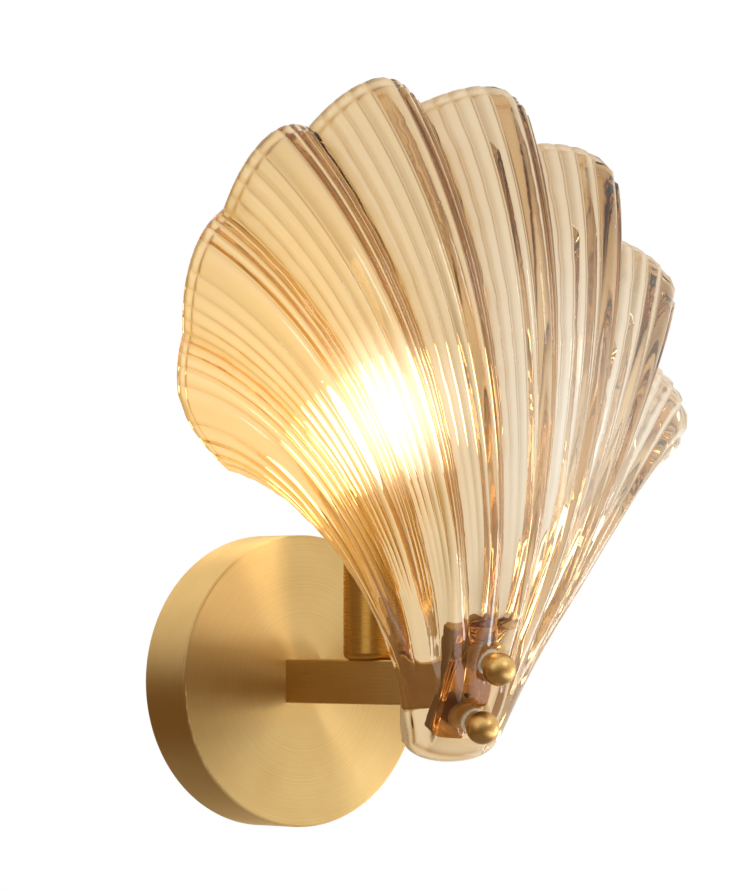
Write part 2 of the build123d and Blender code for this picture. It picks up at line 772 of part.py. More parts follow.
tower(
    screw_shell_height,
    shell_outer_radius,
    shell_inner_radius,
    holder_floor_top,
    "lampholder_screw_shell",
)

with BuildPart() as contact:
    with BuildSketch(Plane.XY.offset(holder_floor_top)):
        with Locations(cup_centre):
            Circle(contact_diameter / 2)
    extrude(amount=contact_height)
    fillet(contact.edges().group_by(Axis.Z)[-1], contact_height / 3)
finish(contact.part, "lampholder_contact")

# ---------------------------------------------------------------- bulb
bulb_radius = bulb_diameter / 2
bulb_centre_z = bulb_foot + bulb_length - bulb_radius
axis_line = Axis((0, -cup_reach, 0), (0, 0, 1))
bulb_plane = Plane(origin=(0, -cup_reach, 0), x_dir=(1, 0, 0), z_dir=(0, -1, 0))

with BuildPart() as base_contact:
    with BuildSketch(Plane.XY.offset(bulb_foot)):
        with Locations(cup_centre):
            Circle(base_contact_diameter / 2)
    extrude(amount=base_contact_height)
    fillet(base_contact.edges().group_by(Axis.Z)[0], base_contact_height / 2)
finish(base_contact.part, "bulb_contact")

with BuildPart() as base_insulator:
    with BuildSketch(bulb_plane):
        with BuildLine():
            Polyline(
                (0, insulator_low),
                (base_contact_diameter / 2 + base_contact_height, insulator_low),
                (base_diameter / 2 - base_wall, shell_low),
                (0, shell_low),
                close=True,
            )
        make_face()
    revolve(axis=axis_line)
finish(base_insulator.part, "bulb_insulator")

tower(base_height, base_diameter / 2, base_diameter / 2 - base_wall, shell_low, "bulb_base_shell")

neck_radius = bulb_neck_diameter / 2
neck_foot = base_top - bulb_neck_insert
shoulder_x = bulb_radius * cos(radians(bulb_shoulder_angle))
shoulder_z = bulb_centre_z - bulb_radius * sin(radians(bulb_shoulder_angle))
inner_radius = bulb_radius - bulb_wall
inner_shoulder_x = inner_radius * cos(radians(bulb_shoulder_angle))
inner_shoulder_z = bulb_centre_z - inner_radius * sin(radians(bulb_shoulder_angle))
with BuildPart() as globe:
    with BuildSketch(bulb_plane):
        with BuildLine():
            outer = ThreePointArc(
                (0, bulb_centre_z + bulb_radius),
                (bulb_radius, bulb_centre_z),
                (shoulder_x, shoulder_z),
            )
            Line(outer @ 1, (neck_radius, base_top + bulb_wall))
            Line((neck_radius, base_top + bulb_wall), (neck_radius, neck_foot))
            Line((neck_radius, neck_foot), (neck_radius - bulb_wall, neck_foot))
            Line((neck_radius - bulb_wall, neck_foot), (neck_radius - bulb_wall, base_top + bulb_wall))
            Line((neck_radius - bulb_wall, base_top + bulb_wall), (inner_shoulder_x, inner_shoulder_z))
            inner = ThreePointArc(
                (inner_shoulder_x, inner_shoulder_z),
                (inner_radius, bulb_centre_z),
                (0, bulb_centre_z + inner_radius),
            )
            Line(inner @ 1, outer @ 0)
        make_face()
    revolve(axis=axis_line)
finish(globe.part, "bulb_globe")

stem_low = neck_foot
stem_top = stem_low + stem_height
with BuildPart() as stem:
    with BuildSketch(bulb_plane):
        with BuildLine():
            Polyline(
                (0, stem_low),
                (neck_radius - bulb_wall, stem_low),
                (stem_diameter / 2, stem_low + stem_flare_height),
                (stem_diameter / 2, stem_top),
                (0, stem_top),
                close=True,
            )
        make_face()
    revolve(axis=axis_line)
finish(stem.part, "bulb_stem")


def wire_sweep(points, diameter, bend_radii):
    """A round wire along straight runs joined by arcs."""
    with BuildLine() as path:
        FilletPolyline(*points, radius=bend_radii)
    route = path.wires()[0]
    with BuildPart() as wire:
        with BuildSketch(Plane(origin=route @ 0, z_dir=route % 0)):
            Circle(diameter / 2)
        sweep(path=route)
    expected = route.length * pi * diameter**2 / 4
    print(f"wire length {route.length:.1f}, volume ratio {wire.part.volume / expected:.4f}")
    return wire.part


def on_lamp_axis(x, z):
    """Point in the vertical plane through the lamp's axis, parallel to the wall."""
    return (x, -cup_reach, z)


filament_foot_z = stem_top + filament_wire_diameter / 4
filament_shoulder_z = stem_top + filament_shoulder_rise
filament_top_z = stem_top + filament_rise
filament_points = [
    on_lamp_axis(-stem_diameter / 3, filament_foot_z),
    on_lamp_axis(-filament_spread / 2, filament_shoulder_z),
    on_lamp_axis(-filament_top_span / 2, filament_top_z),
    on_lamp_axis(filament_top_span / 2, filament_top_z),
    on_lamp_axis(filament_spread / 2, filament_shoulder_z),
    on_lamp_axis(stem_diameter / 3, filament_foot_z),
]
finish(wire_sweep(filament_points, filament_wire_diameter, 2 * filament_wire_diameter), "bulb_filament")

# ---------------------------------------------------------------- terminals and wires
block_top = canopy_inside - terminal_pad_thickness
block_reach = block_top - terminal_depth / 2
terminal_length = terminal_count * terminal_pitch
poles = [terminal_pitch * (i - (terminal_count - 1) / 2) for i in range(terminal_count)]
terminal_screw_places = [
    (x, -terminal_drop + side * terminal_screw_spacing / 2) for x in poles for side in (1, -1)
]

with BuildPart() as terminal_pad:
    with BuildSketch(Plane.XZ.offset(block_top)):
        with Locations((0, -terminal_drop)):
            Rectangle(terminal_length, terminal_width)
    extrude(amount=terminal_pad_thickness)
finish(terminal_pad.part, "terminal_pad")

with BuildPart() as terminal_block:
    with BuildSketch(Plane.XZ.offset(block_top - terminal_depth)):
        with Locations((0, -terminal_drop)):
            RectangleRounded(terminal_length, terminal_width, terminal_pitch / 10)
    extrude(amount=terminal_depth)
    with BuildSketch(Plane.XY.offset(-terminal_drop - terminal_width)):
        with Locations(*[(x, -block_reach) for x in poles]):
            Circle(terminal_tube_diameter / 2 + thread_gap)
    extrude(amount=2 * terminal_width, mode=Mode.SUBTRACT)
    with BuildSketch(Plane.XZ.offset(block_top - terminal_depth)):
        with Locations(*terminal_screw_places):
            Circle(terminal_screw_diameter / 2 + thread_gap)
    extrude(amount=terminal_depth / 2, mode=Mode.SUBTRACT)
finish(terminal_block.part, "terminal_block")

with BuildPart() as terminal_tubes:
    with BuildSketch(Plane.XY.offset(-terminal_drop - terminal_width / 2 + terminal_tube_inset)):
        with Locations(*[(x, -block_reach) for x in poles]):
            Circle(terminal_tube_diameter / 2)
            Circle(terminal_tube_bore / 2, mode=Mode.SUBTRACT)
    extrude(amount=terminal_width - 2 * terminal_tube_inset)
finish(terminal_tubes.part, "terminal_tubes")

with BuildPart() as terminal_screws:
    with BuildSketch(Plane.XZ.offset(block_top - terminal_depth + terminal_screw_sink)):
        with Locations(*terminal_screw_places):
            Circle(terminal_screw_diameter / 2)
    extrude(amount=(terminal_depth - terminal_tube_diameter) / 2 - terminal_screw_sink)
    with BuildSketch(Plane.XZ.offset(block_top - terminal_depth)):
        with Locations(*terminal_screw_places):
            Rectangle(terminal_screw_diameter, terminal_screw_diameter / 5)
    extrude(amount=terminal_screw_sink + terminal_slot_depth, mode=Mode.SUBTRACT)
finish(terminal_screws.part, "terminal_screws")

wire_foot = -terminal_drop + terminal_width / 2 - wire_entry
loop_foot = -terminal_drop + terminal_width / 2 + wire_rise


def lamp_wire(side, top_points):
    """A wire from a terminal, in a slack loop into the nipple, along the arm and up the cup."""
    pole_x = side * terminal_pitch
    arm_x = side * wire_pair_offset
    points = [
        (pole_x, -block_reach, wire_foot),
        (pole_x, -block_reach, loop_foot),
        (arm_x, -wire_loop_reach, -wire_loop_drop),
        (arm_x, -wire_loop_reach, 0),
        (arm_x, -cup_reach, 0),
        *top_points,
    ]
    return wire_sweep(points, wire_diameter, wire_bend_radius)


live_top = [(-wire_pair_offset, -cup_reach, holder_floor_top)]
neutral_turn = holder_start + holder_cap_floor + neutral_step
neutral_top = [
    (wire_pair_offset, -cup_reach, neutral_turn),
    (neutral_x, -cup_reach, neutral_turn + neutral_rise),
    (neutral_x, -cup_reach, holder_floor_top),
]
finish(lamp_wire(-1, live_top), "wire_live")
finish(lamp_wire(1, neutral_top), "wire_neutral")

with BuildPart() as earth_wire:
    with BuildSketch(Plane.XY.offset(wire_foot)):
        with Locations((0, -block_reach)):
            Circle(wire_diameter / 2)
    extrude(amount=barrel_low + lug_barrel_length / 2 - wire_foot)
finish(earth_wire.part, "wire_earth")
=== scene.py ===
"""Looks of a wall sconce: a pressed-glass scallop shell in front of a small lit opal bulb.

Frame: +Z up, the front faces -Y, the wall is the plane Y = 0, and the origin is the centre of the
backplate on the wall. Blender works in metres. Sizes of the sconce are kept in millimetres and
turned to metres where a mesh or a node takes them. The studio round it is in metres.
"""
import json
import logging
import math
from dataclasses import dataclass, field
from enum import Enum

import bmesh
import bpy
import numpy as np
from mathutils import Matrix, Vector


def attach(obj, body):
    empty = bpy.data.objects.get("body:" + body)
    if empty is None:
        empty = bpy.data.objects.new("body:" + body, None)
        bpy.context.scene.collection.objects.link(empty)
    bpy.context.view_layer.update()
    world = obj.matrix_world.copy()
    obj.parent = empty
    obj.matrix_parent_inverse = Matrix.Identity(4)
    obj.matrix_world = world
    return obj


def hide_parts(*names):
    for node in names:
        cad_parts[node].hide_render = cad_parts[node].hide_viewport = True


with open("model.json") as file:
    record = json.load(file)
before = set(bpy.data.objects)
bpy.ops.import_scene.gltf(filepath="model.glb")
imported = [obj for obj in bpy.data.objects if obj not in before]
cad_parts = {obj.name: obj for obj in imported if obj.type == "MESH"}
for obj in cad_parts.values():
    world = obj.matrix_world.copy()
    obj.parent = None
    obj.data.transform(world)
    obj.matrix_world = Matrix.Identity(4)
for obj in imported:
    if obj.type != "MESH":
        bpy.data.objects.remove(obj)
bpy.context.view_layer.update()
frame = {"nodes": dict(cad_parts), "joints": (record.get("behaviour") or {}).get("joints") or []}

MM = 0.001
MERGE_DISTANCE = 1e-7
NOISE_SPAN = (0.3, 0.7)
GLASS_IOR = 1.5
WHITE = (1.0, 1.0, 1.0, 1.0)
LOG = logging.getLogger("sconce")
Array = np.ndarray
Pair = tuple[float, float]
Point = tuple[float, float, float]
Colour = tuple[float, float, float, float]
Tree = bpy.types.NodeTree
Socket = bpy.types.NodeSocket


class Body(Enum):
    """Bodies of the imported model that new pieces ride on."""

    SHADE = "shade"
    BULB = "bulb"


class Grain(Enum):
    """Direction in which a metal surface was brushed or turned."""

    TURNED_FACE = "rings about the backplate's axis"
    LENGTHWISE = "lines along the arm"
    TURNED_POST = "rings about the lamp's axis"
    ROLLED = "no plain direction"


# ---------------------------------------------------------------- nodes and colours
def linear(code: str) -> Colour:
    """Turn an sRGB colour, written as "#rrggbb", into linear values and an alpha of 1."""
    parts = [int(code[i : i + 2], 16) / 255 for i in (1, 3, 5)]
    return (*[v / 12.92 if v <= 0.04045 else ((v + 0.055) / 1.055) ** 2.4 for v in parts], 1.0)


def metres(lengths: tuple[float, ...]) -> tuple[float, ...]:
    """Lengths or a point in mm, turned to metres."""
    return tuple(length * MM for length in lengths)


def add(tree: Tree, kind: str, settings: dict | None = None, **inputs) -> bpy.types.Node:
    """Add a node with its settings, values and links.

    Args:
        tree: node tree that takes the node.
        kind: Blender's name for the node, without "ShaderNode".
        settings: attributes to set, and under "at" a dict of inputs by number or full name.
        **inputs: input sockets by name, with _ for a space; a socket is linked, a value is set.

    Returns:
        The new node.
    """
    node = tree.nodes.new("ShaderNode" + kind)
    settings = dict(settings or {})
    wanted = {name.replace("_", " "): value for name, value in inputs.items()}
    wanted.update(settings.pop("at", {}))
    for name, value in settings.items():
        setattr(node, name, value)
    for name, value in wanted.items():
        if isinstance(value, Socket):
            tree.links.new(value, node.inputs[name])
        else:
            node.inputs[name].default_value = value
    return node


def cover(tree: Tree, output: bpy.types.Node, kind: str, settings: dict | None = None, **inputs) -> None:
    """Add a shader, as add does, and link it to the surface of an output node."""
    shader = add(tree, kind, settings, **inputs)
    tree.links.new(shader.outputs[0], output.inputs["Surface"])


def new_material(name: str) -> tuple[bpy.types.Material, Tree, bpy.types.Node]:
    """Make an empty node material.

    Args:
        name: the real material and how its surface was made.

    Returns:
        The material, its node tree and its output node.
    """
    material = bpy.data.materials.new(name)
    material.use_nodes = True
    tree = material.node_tree
    tree.nodes.clear()
    return material, tree, add(tree, "OutputMaterial")


def place_in(tree: Tree) -> Socket:
    """Object coordinates of the shaded point, in metres."""
    return add(tree, "TexCoord").outputs["Object"]


def coordinates(tree: Tree, vector: Socket) -> list[Socket]:
    """X, Y and Z of a vector."""
    return list(add(tree, "SeparateXYZ", {"at": {0: vector}}).outputs)


def dot(tree: Tree, first, second) -> Socket:
    """Dot product of two vectors."""
    node = add(tree, "VectorMath", {"operation": "DOT_PRODUCT", "at": {0: first, 1: second}})
    return node.outputs["Value"]


def blend_colours(tree: Tree, factor, first, second) -> Socket:
    """Mix two colours: the first where the factor is 0, the second where it is 1."""
    node = add(tree, "Mix", {"data_type": "RGBA", "at": {0: factor, 6: first, 7: second}})
    return node.outputs[2]


def ramp(tree: Tree, value, low: float, high: float, start: float = 0.0, end: float = 1.0) -> Socket:
    """Map a value, so that low gives start and high gives end, and keep it between these two."""
    return add(tree, "MapRange", {"at": {0: value, 1: low, 2: high, 3: start, 4: end}}).outputs[0]


def arithmetic(tree: Tree, operation: str, first, second=0.0) -> Socket:
    """One step of arithmetic on sockets or numbers, by Blender's name of the operation."""
    return add(tree, "Math", {"operation": operation, "at": {0: first, 1: second}}).outputs[0]


def times(tree: Tree, first, second) -> Socket:
    """The product of two sockets, or of a socket and a number."""
    return arithmetic(tree, "MULTIPLY", first, second)


def radius_of(tree: Tree, first, second) -> Socket:
    """Distance from an axis: the root of the sum of two squared coordinates."""
    squares = [arithmetic(tree, "POWER", part, 2.0) for part in (first, second)]
    return arithmetic(tree, "SQRT", arithmetic(tree, "ADD", *squares))


def join_lights(tree: Tree, first: tuple, second: tuple) -> tuple[Socket, Socket]:
    """Add two lights, each a colour and a strength.

    Args:
        tree: node tree to add to.
        first: one light.
        second: the other.

    Returns:
        Their colour, shared out by strength, and their strength together.
    """
    least = 0.001
    (colour, strength), (more_colour, more_strength) = first, second
    total = arithmetic(tree, "ADD", strength, more_strength)
    share = arithmetic(tree, "DIVIDE", more_strength, arithmetic(tree, "MAXIMUM", total, least))
    return blend_colours(tree, share, colour, more_colour), total


# ---------------------------------------------------------------- finishes
@dataclass(frozen=True)
class BrushedMetal:
    """Metal with a brushed or turned surface: fine lines that stretch its highlights across them.

    Lines and clouds of faint oxidation take the colour towards the tone, each by its share where
    the noise lies past its span, and worn edges take it towards the edge colour. Real lines are
    0.05 to 0.2 mm apart and are drawn at 0.4 mm or more, because finer ones don't show. The axis is
    a point in mm that turned lines go round, stretch is a lengthwise line's width beside its
    length, swing is how far the roughness follows the lines, and wear holds the cosines of the turn
    round an edge at which wear starts and is full.
    """

    name: str
    colour: str
    tone: str
    edge: str
    roughness: float = 0.32
    anisotropy: float = 0.6
    grain: Grain = Grain.ROLLED
    grain_mm: float = 0.5
    depth_mm: float = 0.01
    axis: Point = (0.0, 0.0, 0.0)
    stretch: float = 0.02
    swing: float = 0.06
    line_span: Pair = (0.35, 0.7)
    line_share: float = 0.35
    cloud_mm: float = 20.0
    cloud_span: Pair = (0.35, 0.75)
    cloud_share: float = 0.22
    edge_mm: float = 0.5
    wear: Pair = (0.998, 0.9)

    def grain_vector(self, tree: Tree) -> Socket:
        """Coordinates in which the lines of the grain are one unit apart.

        Args:
            tree: node tree to add to.

        Returns:
            Vector socket: fast across the lines and slow along them.
        """
        centre = tuple(-v for v in metres(self.axis))
        moved = add(tree, "Mapping", Vector=place_in(tree), Location=centre).outputs[0]
        x, y, z = coordinates(tree, moved)
        fine = 1 / (self.grain_mm * MM)
        if self.grain is Grain.TURNED_FACE:
            parts = (times(tree, radius_of(tree, x, z), fine), times(tree, y, fine), 0.0)
        elif self.grain is Grain.TURNED_POST:
            parts = (times(tree, radius_of(tree, x, y), fine), times(tree, z, fine), 0.0)
        else:
            along = fine * self.stretch if self.grain is Grain.LENGTHWISE else fine
            parts = (times(tree, x, fine), times(tree, y, along), times(tree, z, fine))
        return add(tree, "CombineXYZ", {"at": dict(enumerate(parts))}).outputs[0]

    def tangent(self, tree: Tree) -> Socket:
        """Direction along the lines of the grain.

        Args:
            tree: node tree to add to.

        Returns:
            Vector socket.
        """
        if self.grain is Grain.TURNED_FACE:
            return add(tree, "Tangent", {"direction_type": "RADIAL", "axis": "Y"}).outputs[0]
        if self.grain is Grain.TURNED_POST:
            return add(tree, "Tangent", {"direction_type": "RADIAL", "axis": "Z"}).outputs[0]
        return add(tree, "CombineXYZ", {"at": {0: 0.0, 1: 1.0, 2: 0.0}}).outputs[0]

    def material(self) -> bpy.types.Material:
        """Build the material.

        Returns:
            Metal whose colour, roughness and bump follow the grain, paler along worn edges.
        """
        material, tree, output = new_material(self.name)
        lines = add(
            tree, "TexNoise", Vector=self.grain_vector(tree), Scale=1.0, Detail=3.0, Roughness=0.6
        ).outputs[0]
        here = place_in(tree)
        clouds = add(
            tree, "TexNoise", Vector=here, Scale=1 / (self.cloud_mm * MM), Detail=3.0, Roughness=0.55
        ).outputs[0]
        rounded = add(tree, "Bevel", {"samples": 4}, Radius=self.edge_mm * MM).outputs[0]
        worn = ramp(tree, dot(tree, rounded, add(tree, "NewGeometry").outputs["Normal"]), *self.wear)
        age = times(tree, ramp(tree, clouds, *self.cloud_span), self.cloud_share)
        streaks = times(tree, ramp(tree, lines, *self.line_span), self.line_share)
        dark = arithmetic(tree, "ADD", age, streaks)
        body = blend_colours(tree, dark, linear(self.colour), linear(self.tone))
        cover(
            tree,
            output,
            "BsdfPrincipled",
            Base_Color=blend_colours(tree, worn, body, linear(self.edge)),
            Metallic=1.0,
            Roughness=ramp(
                tree, lines, *NOISE_SPAN, self.roughness - self.swing, self.roughness + self.swing
            ),
            Normal=add(
                tree, "Bump", Strength=0.5, Distance=self.depth_mm * MM, Height=lines, Normal=rounded
            ).outputs[0],
            Anisotropic=self.anisotropy,
            Anisotropic_Rotation=0.25,
            Tangent=self.tangent(tree),
        )
        return material


@dataclass(frozen=True)
class MouldedFinish:
    """Moulded plastic, rubber or cement: a soft gloss over a slightly uneven skin.

    Specks take the colour towards the tone and swing the roughness. Clear is the part of the light
    that goes through silicone. The stripe is the second colour of a two-colour wire, which ends on
    one side of it between the two X values of its edge, in mm.
    """

    name: str
    colour: str
    tone: str
    roughness: float = 0.4
    speck_mm: float = 0.8
    depth_mm: float = 0.02
    clear: float = 0.0
    stripe: str | None = None
    speck_span: Pair = (0.4, 0.7)
    swing: Pair = (-0.05, 0.08)
    stripe_edge: Pair = (-0.2, -0.1)

    def material(self) -> bpy.types.Material:
        """Build the material.

        Returns:
            Dielectric with specks in its colour and roughness, and a fine bump.
        """
        material, tree, output = new_material(self.name)
        here = place_in(tree)
        specks = add(
            tree, "TexNoise", Vector=here, Scale=1 / (self.speck_mm * MM), Detail=4.0
        ).outputs[0]
        colour = blend_colours(
            tree, ramp(tree, specks, *self.speck_span), linear(self.colour), linear(self.tone)
        )
        if self.stripe:
            side = coordinates(tree, here)[0]
            plain = ramp(tree, side, *metres(self.stripe_edge))
            colour = blend_colours(tree, plain, linear(self.stripe), colour)
        least, most = (self.roughness + change for change in self.swing)
        cover(
            tree,
            output,
            "BsdfPrincipled",
            Base_Color=colour,
            Roughness=ramp(tree, specks, *NOISE_SPAN, least, most),
            IOR=1.46,
            Normal=add(tree, "Bump", Strength=0.4, Distance=self.depth_mm * MM, Height=specks).outputs[0],
            Transmission_Weight=self.clear,
        )
        return material


@dataclass(frozen=True)
class InnerLight:
    """Painted glow: lamp light caught inside the glass round a point, painted as emission.

    It falls off as (1 - distance / reach) to a power, with centre and reach in mm.
    """

    colour: str
    strength: float
    centre: Point
    reach: float
    power: float

    def level(self, tree: Tree, here: Socket) -> Socket:
        """Work out the light at the shaded point.

        Args:
            tree: node tree to add to.
            here: the point's Object coordinates.

        Returns:
            Socket of the light's strength there.
        """
        ends = {0: here, 1: metres(self.centre)}
        away = add(tree, "VectorMath", {"operation": "DISTANCE", "at": ends}).outputs["Value"]
        near = ramp(tree, away, 0.0, self.reach * MM, 1.0, 0.0)
        return times(tree, arithmetic(tree, "POWER", near, self.power), self.strength)


@dataclass(frozen=True)
class PressedGlass:
    """Champagne soda-lime glass, pressed in an iron mould and fire polished.

    The mould leaves faint ripples, and a few small seeds whose size is a share of their gap. The
    tint carries painted light: a painted warm light on the lamp's side, a painted sheen that makes
    it clear low down on the other side, and painted shade in amber in grooves, steps and edges,
    for the darker look where the wall is seen end on. Absorption is the colour left after a long
    way, and density is per metre. The glow is a painted glow, an emission for lamp light caught in
    the lobes, the core is a painted glow right in front of the bulb, and the piped light is a
    painted sheen, an emission low on the right for light that runs inside the glass. Pairs named
    side or height are places in mm between which something comes or goes along X or Z.
    """

    name: str = "Pressed champagne soda-lime glass"
    tint: str = "#f3e7d4"
    # Painted light: a warmer tint on the lamp's side, for the lamp's light falling on that side.
    painted_warmth_tint: str = "#f5dfb2"
    painted_warmth_side: Pair = (-80.0, 30.0)
    # Painted sheen: a paler, clearer tint low down on the right, for the softboxes' reflection there.
    painted_sheen_tint: str = "#fbf7ee"
    painted_sheen_side: Pair = (-30.0, 30.0)
    painted_sheen_height: Pair = (190.0, 70.0)
    tip_height: Pair = (0.0, 100.0)
    # Painted shade: the amber that grooves, valleys, steps and edges are darkened towards.
    amber: str = "#c2924a"
    amber_left: float = 0.3
    absorption: Colour = (0.78, 0.56, 0.18, 1.0)
    density: float = 104.0
    roughness: float = 0.035
    ripple_mm: float = 16.0
    seed_gap_mm: float = 14.0
    seed_size: float = 0.07
    seed_height: float = 0.6
    depth_mm: float = 0.35
    # Painted glow: emissions on the glass for lamp light caught in the lobes, a bright core in front of the
    # bulb, and a bluish piped sheen low on the right.
    glow: InnerLight = InnerLight("#ffcf72", 0.28, (-72.0, -110.0, 96.0), reach=112.0, power=1.1)
    glow_side: Pair = (-75.0, -10.0)
    glow_left: float = 0.15
    core: InnerLight = InnerLight("#fff5e2", 0.85, (-52.0, -156.0, 105.0), reach=38.0, power=1.6)
    piped: str = "#daedff"
    piped_strength: float = 0.13

    def skin(self, tree: Tree, here: Socket) -> Socket:
        """Normal of the skin: long ripples, with a few small seeds standing up from them.

        Args:
            tree: node tree to add to.
            here: the point's Object coordinates.

        Returns:
            Normal's socket.
        """
        ripples = add(
            tree, "TexNoise", Vector=here, Scale=1 / (self.ripple_mm * MM), Detail=2.0, Distortion=0.4
        ).outputs[0]
        seeds = add(tree, "TexVoronoi", Vector=here, Scale=1 / (self.seed_gap_mm * MM))
        seed = ramp(tree, seeds.outputs["Distance"], 0.0, self.seed_size, 1.0, 0.0)
        surface = arithmetic(tree, "ADD", ripples, times(tree, seed, self.seed_height))
        return add(tree, "Bump", Strength=0.6, Distance=self.depth_mm * MM, Height=surface).outputs[0]

    def painted_sheen_mask(self, tree: Tree, side: Socket, height: Socket) -> Socket:
        """How far a point lies low down on the side away from the lamp, but above the tip: the mask of the
        painted sheen.

        Args:
            tree: node tree to add to.
            side: socket of X.
            height: socket of Z.

        Returns:
            Socket of 0 for not at all to 1 for fully.
        """
        low = times(
            tree,
            ramp(tree, height, *metres(self.painted_sheen_height)),
            ramp(tree, side, *metres(self.painted_sheen_side)),
        )
        return times(tree, low, ramp(tree, height, *metres(self.tip_height)))

    def tinted(self, tree: Tree, side: Socket, low: Socket) -> Socket:
        """Tint of the surface, with painted light and painted shade in it.

        Args:
            tree: node tree to add to.
            side: socket of X.
            low: how far a point lies low on the right, in the painted sheen.

        Returns:
            Colour's socket: painted warm light near the lamp, a painted sheen that clears it low on the
            right, and painted amber shade in grooves, valleys, steps and edges.
        """
        # Painted light: the tint turns warmer towards the lamp's side, for the lamp's light on it.
        painted_warmth = ramp(tree, side, *metres(self.painted_warmth_side), 1.0, 0.0)
        colour = blend_colours(tree, painted_warmth, linear(self.tint), linear(self.painted_warmth_tint))
        # Painted sheen: low on the right the tint turns paler and clearer, for the softboxes' reflection.
        colour = blend_colours(tree, low, colour, linear(self.painted_sheen_tint))
        # Painted shade: amber darkening in grooves, valleys, steps and edges, kept weaker in the painted
        # sheen.
        painted_shade = add(tree, "Attribute", {"attribute_name": "amber"}).outputs["Fac"]
        painted_shade = times(tree, painted_shade, ramp(tree, low, 0.0, 1.0, 1.0, self.amber_left))
        return blend_colours(tree, painted_shade, colour, linear(self.amber))

    def material(self) -> bpy.types.Material:
        """Build the material.

        Returns:
            Clear refracting glass with absorption in its volume, a painted inner glow given as emission,
            and painted light and painted shade in its tint.
        """
        material, tree, output = new_material(self.name)
        here = place_in(tree)
        side, _, height = coordinates(tree, here)
        low = self.painted_sheen_mask(tree, side, height)
        # Painted glow: lamp light caught in the lobes, a core in front of the bulb and a piped sheen low on
        # the right, all as emission.
        fade = ramp(tree, side, *metres(self.glow_side), 1.0, self.glow_left)
        caught = times(tree, self.glow.level(tree, here), fade)
        core = self.core.level(tree, here)
        piped = times(tree, low, self.piped_strength)
        light = join_lights(tree, (linear(self.glow.colour), caught), (linear(self.core.colour), core))
        colour, strength = join_lights(tree, light, (linear(self.piped), piped))
        cover(
            tree,
            output,
            "BsdfPrincipled",
            {"distribution": "MULTI_GGX"},
            Base_Color=self.tinted(tree, side, low),
            Roughness=self.roughness,
            IOR=GLASS_IOR,
            Transmission_Weight=1.0,
            Normal=self.skin(tree, here),
            # Painted glow: the glass emits the caught lamp light, the core and the piped sheen.
            Emission_Color=colour,
            Emission_Strength=strength,
        )
        volume = add(tree, "VolumeAbsorption", Color=self.absorption, Density=self.density)
        tree.links.new(volume.outputs[0], output.inputs["Volume"])
        return material


@dataclass(frozen=True)
class LampGlass:
    """Blown glass of the bulb: opal and lit, or clear where its strength is 0.

    Its light grows from neck_level to full between the two heights of the neck, in mm, and the two
    swings are the least and most light and roughness beside their mean.
    """

    name: str
    colour: str
    glow: str = "#ffffff"
    strength: float = 0.0
    roughness: float = 0.2
    swing: Pair = (0.8, 1.2)
    mottles_per_m: float = 180.0
    mottle_swing: Pair = (0.95, 1.05)
    neck: Pair = (66.0, 95.0)
    neck_level: float = 0.45

    def material(self) -> bpy.types.Material:
        """Build the material.

        Returns:
            Opal glass that is a little brighter round its filament, or clear glass.
        """
        material, tree, output = new_material(self.name)
        here = place_in(tree)
        mottle = add(tree, "TexNoise", Vector=here, Scale=self.mottles_per_m, Detail=2.0).outputs[0]
        height = coordinates(tree, here)[2]
        level = times(
            tree,
            ramp(tree, height, *metres(self.neck), self.neck_level, 1.0),
            ramp(tree, mottle, 0.0, 1.0, *self.mottle_swing),
        )
        least, most = (self.roughness * share for share in self.swing)
        cover(
            tree,
            output,
            "BsdfPrincipled",
            Base_Color=linear(self.colour),
            Roughness=ramp(tree, mottle, *NOISE_SPAN, least, most),
            IOR=GLASS_IOR,
            Transmission_Weight=1.0 if self.strength == 0 else 0.0,
            Emission_Color=linear(self.glow),
            Emission_Strength=times(tree, level, self.strength),
        )
        return material


BRASS = {"colour": "#e4c78c", "tone": "#c49d5a", "edge": "#f8e6ba"}
FACE_BRASS = BrushedMetal(
    "Spun brass, circular brushed and lacquered", **BRASS, roughness=0.47, anisotropy=0.95,
    grain=Grain.TURNED_FACE, depth_mm=0.006,
)
ARM_BRASS = BrushedMetal(
    "Square brass tube, brushed lengthwise and lacquered", **BRASS, roughness=0.34,
    grain=Grain.LENGTHWISE,
)
POST_BRASS = BrushedMetal(
    "Turned brass, satin lacquered", "#dfb25c", "#b07f36", "#f4d797", roughness=0.27, anisotropy=0.3,
    grain=Grain.TURNED_POST, grain_mm=0.6, depth_mm=0.002, axis=(0.0, -78.0, 0.0),
)
KNOB_BRASS = BrushedMetal(
    "Cast brass, satin brushed", "#dcb878", "#ad8448", "#f4deb0", roughness=0.38, anisotropy=0.2,
    grain_mm=0.7, depth_mm=0.015,
)
# Painted shade: a darker copy of the brass for the clamp bar and its screw, for the shade of the glass in
# front of them.
SHADED_CLAMP_BRASS = BrushedMetal(
    "Brass bar, brushed, darkened for painted shade", "#a98640", "#7d5f28", "#cfae68", roughness=0.42, anisotropy=0.3,
    grain_mm=0.6,
)
PLAIN_BRASS = BrushedMetal(
    "Drawn brass, plain", "#cda45c", "#9c7434", "#e6c98c", roughness=0.28, anisotropy=0.2,
)
ZINC = BrushedMetal(
    "Zinc plated steel", "#b9bcbf", "#8f949a", "#dfe2e4", roughness=0.35, anisotropy=0.2, grain_mm=1.2,
)
NICKEL = BrushedMetal(
    "Nickel plated brass", "#c6c2b8", "#9c978c", "#e4e1da", roughness=0.22, anisotropy=0.2, grain_mm=0.8,
)
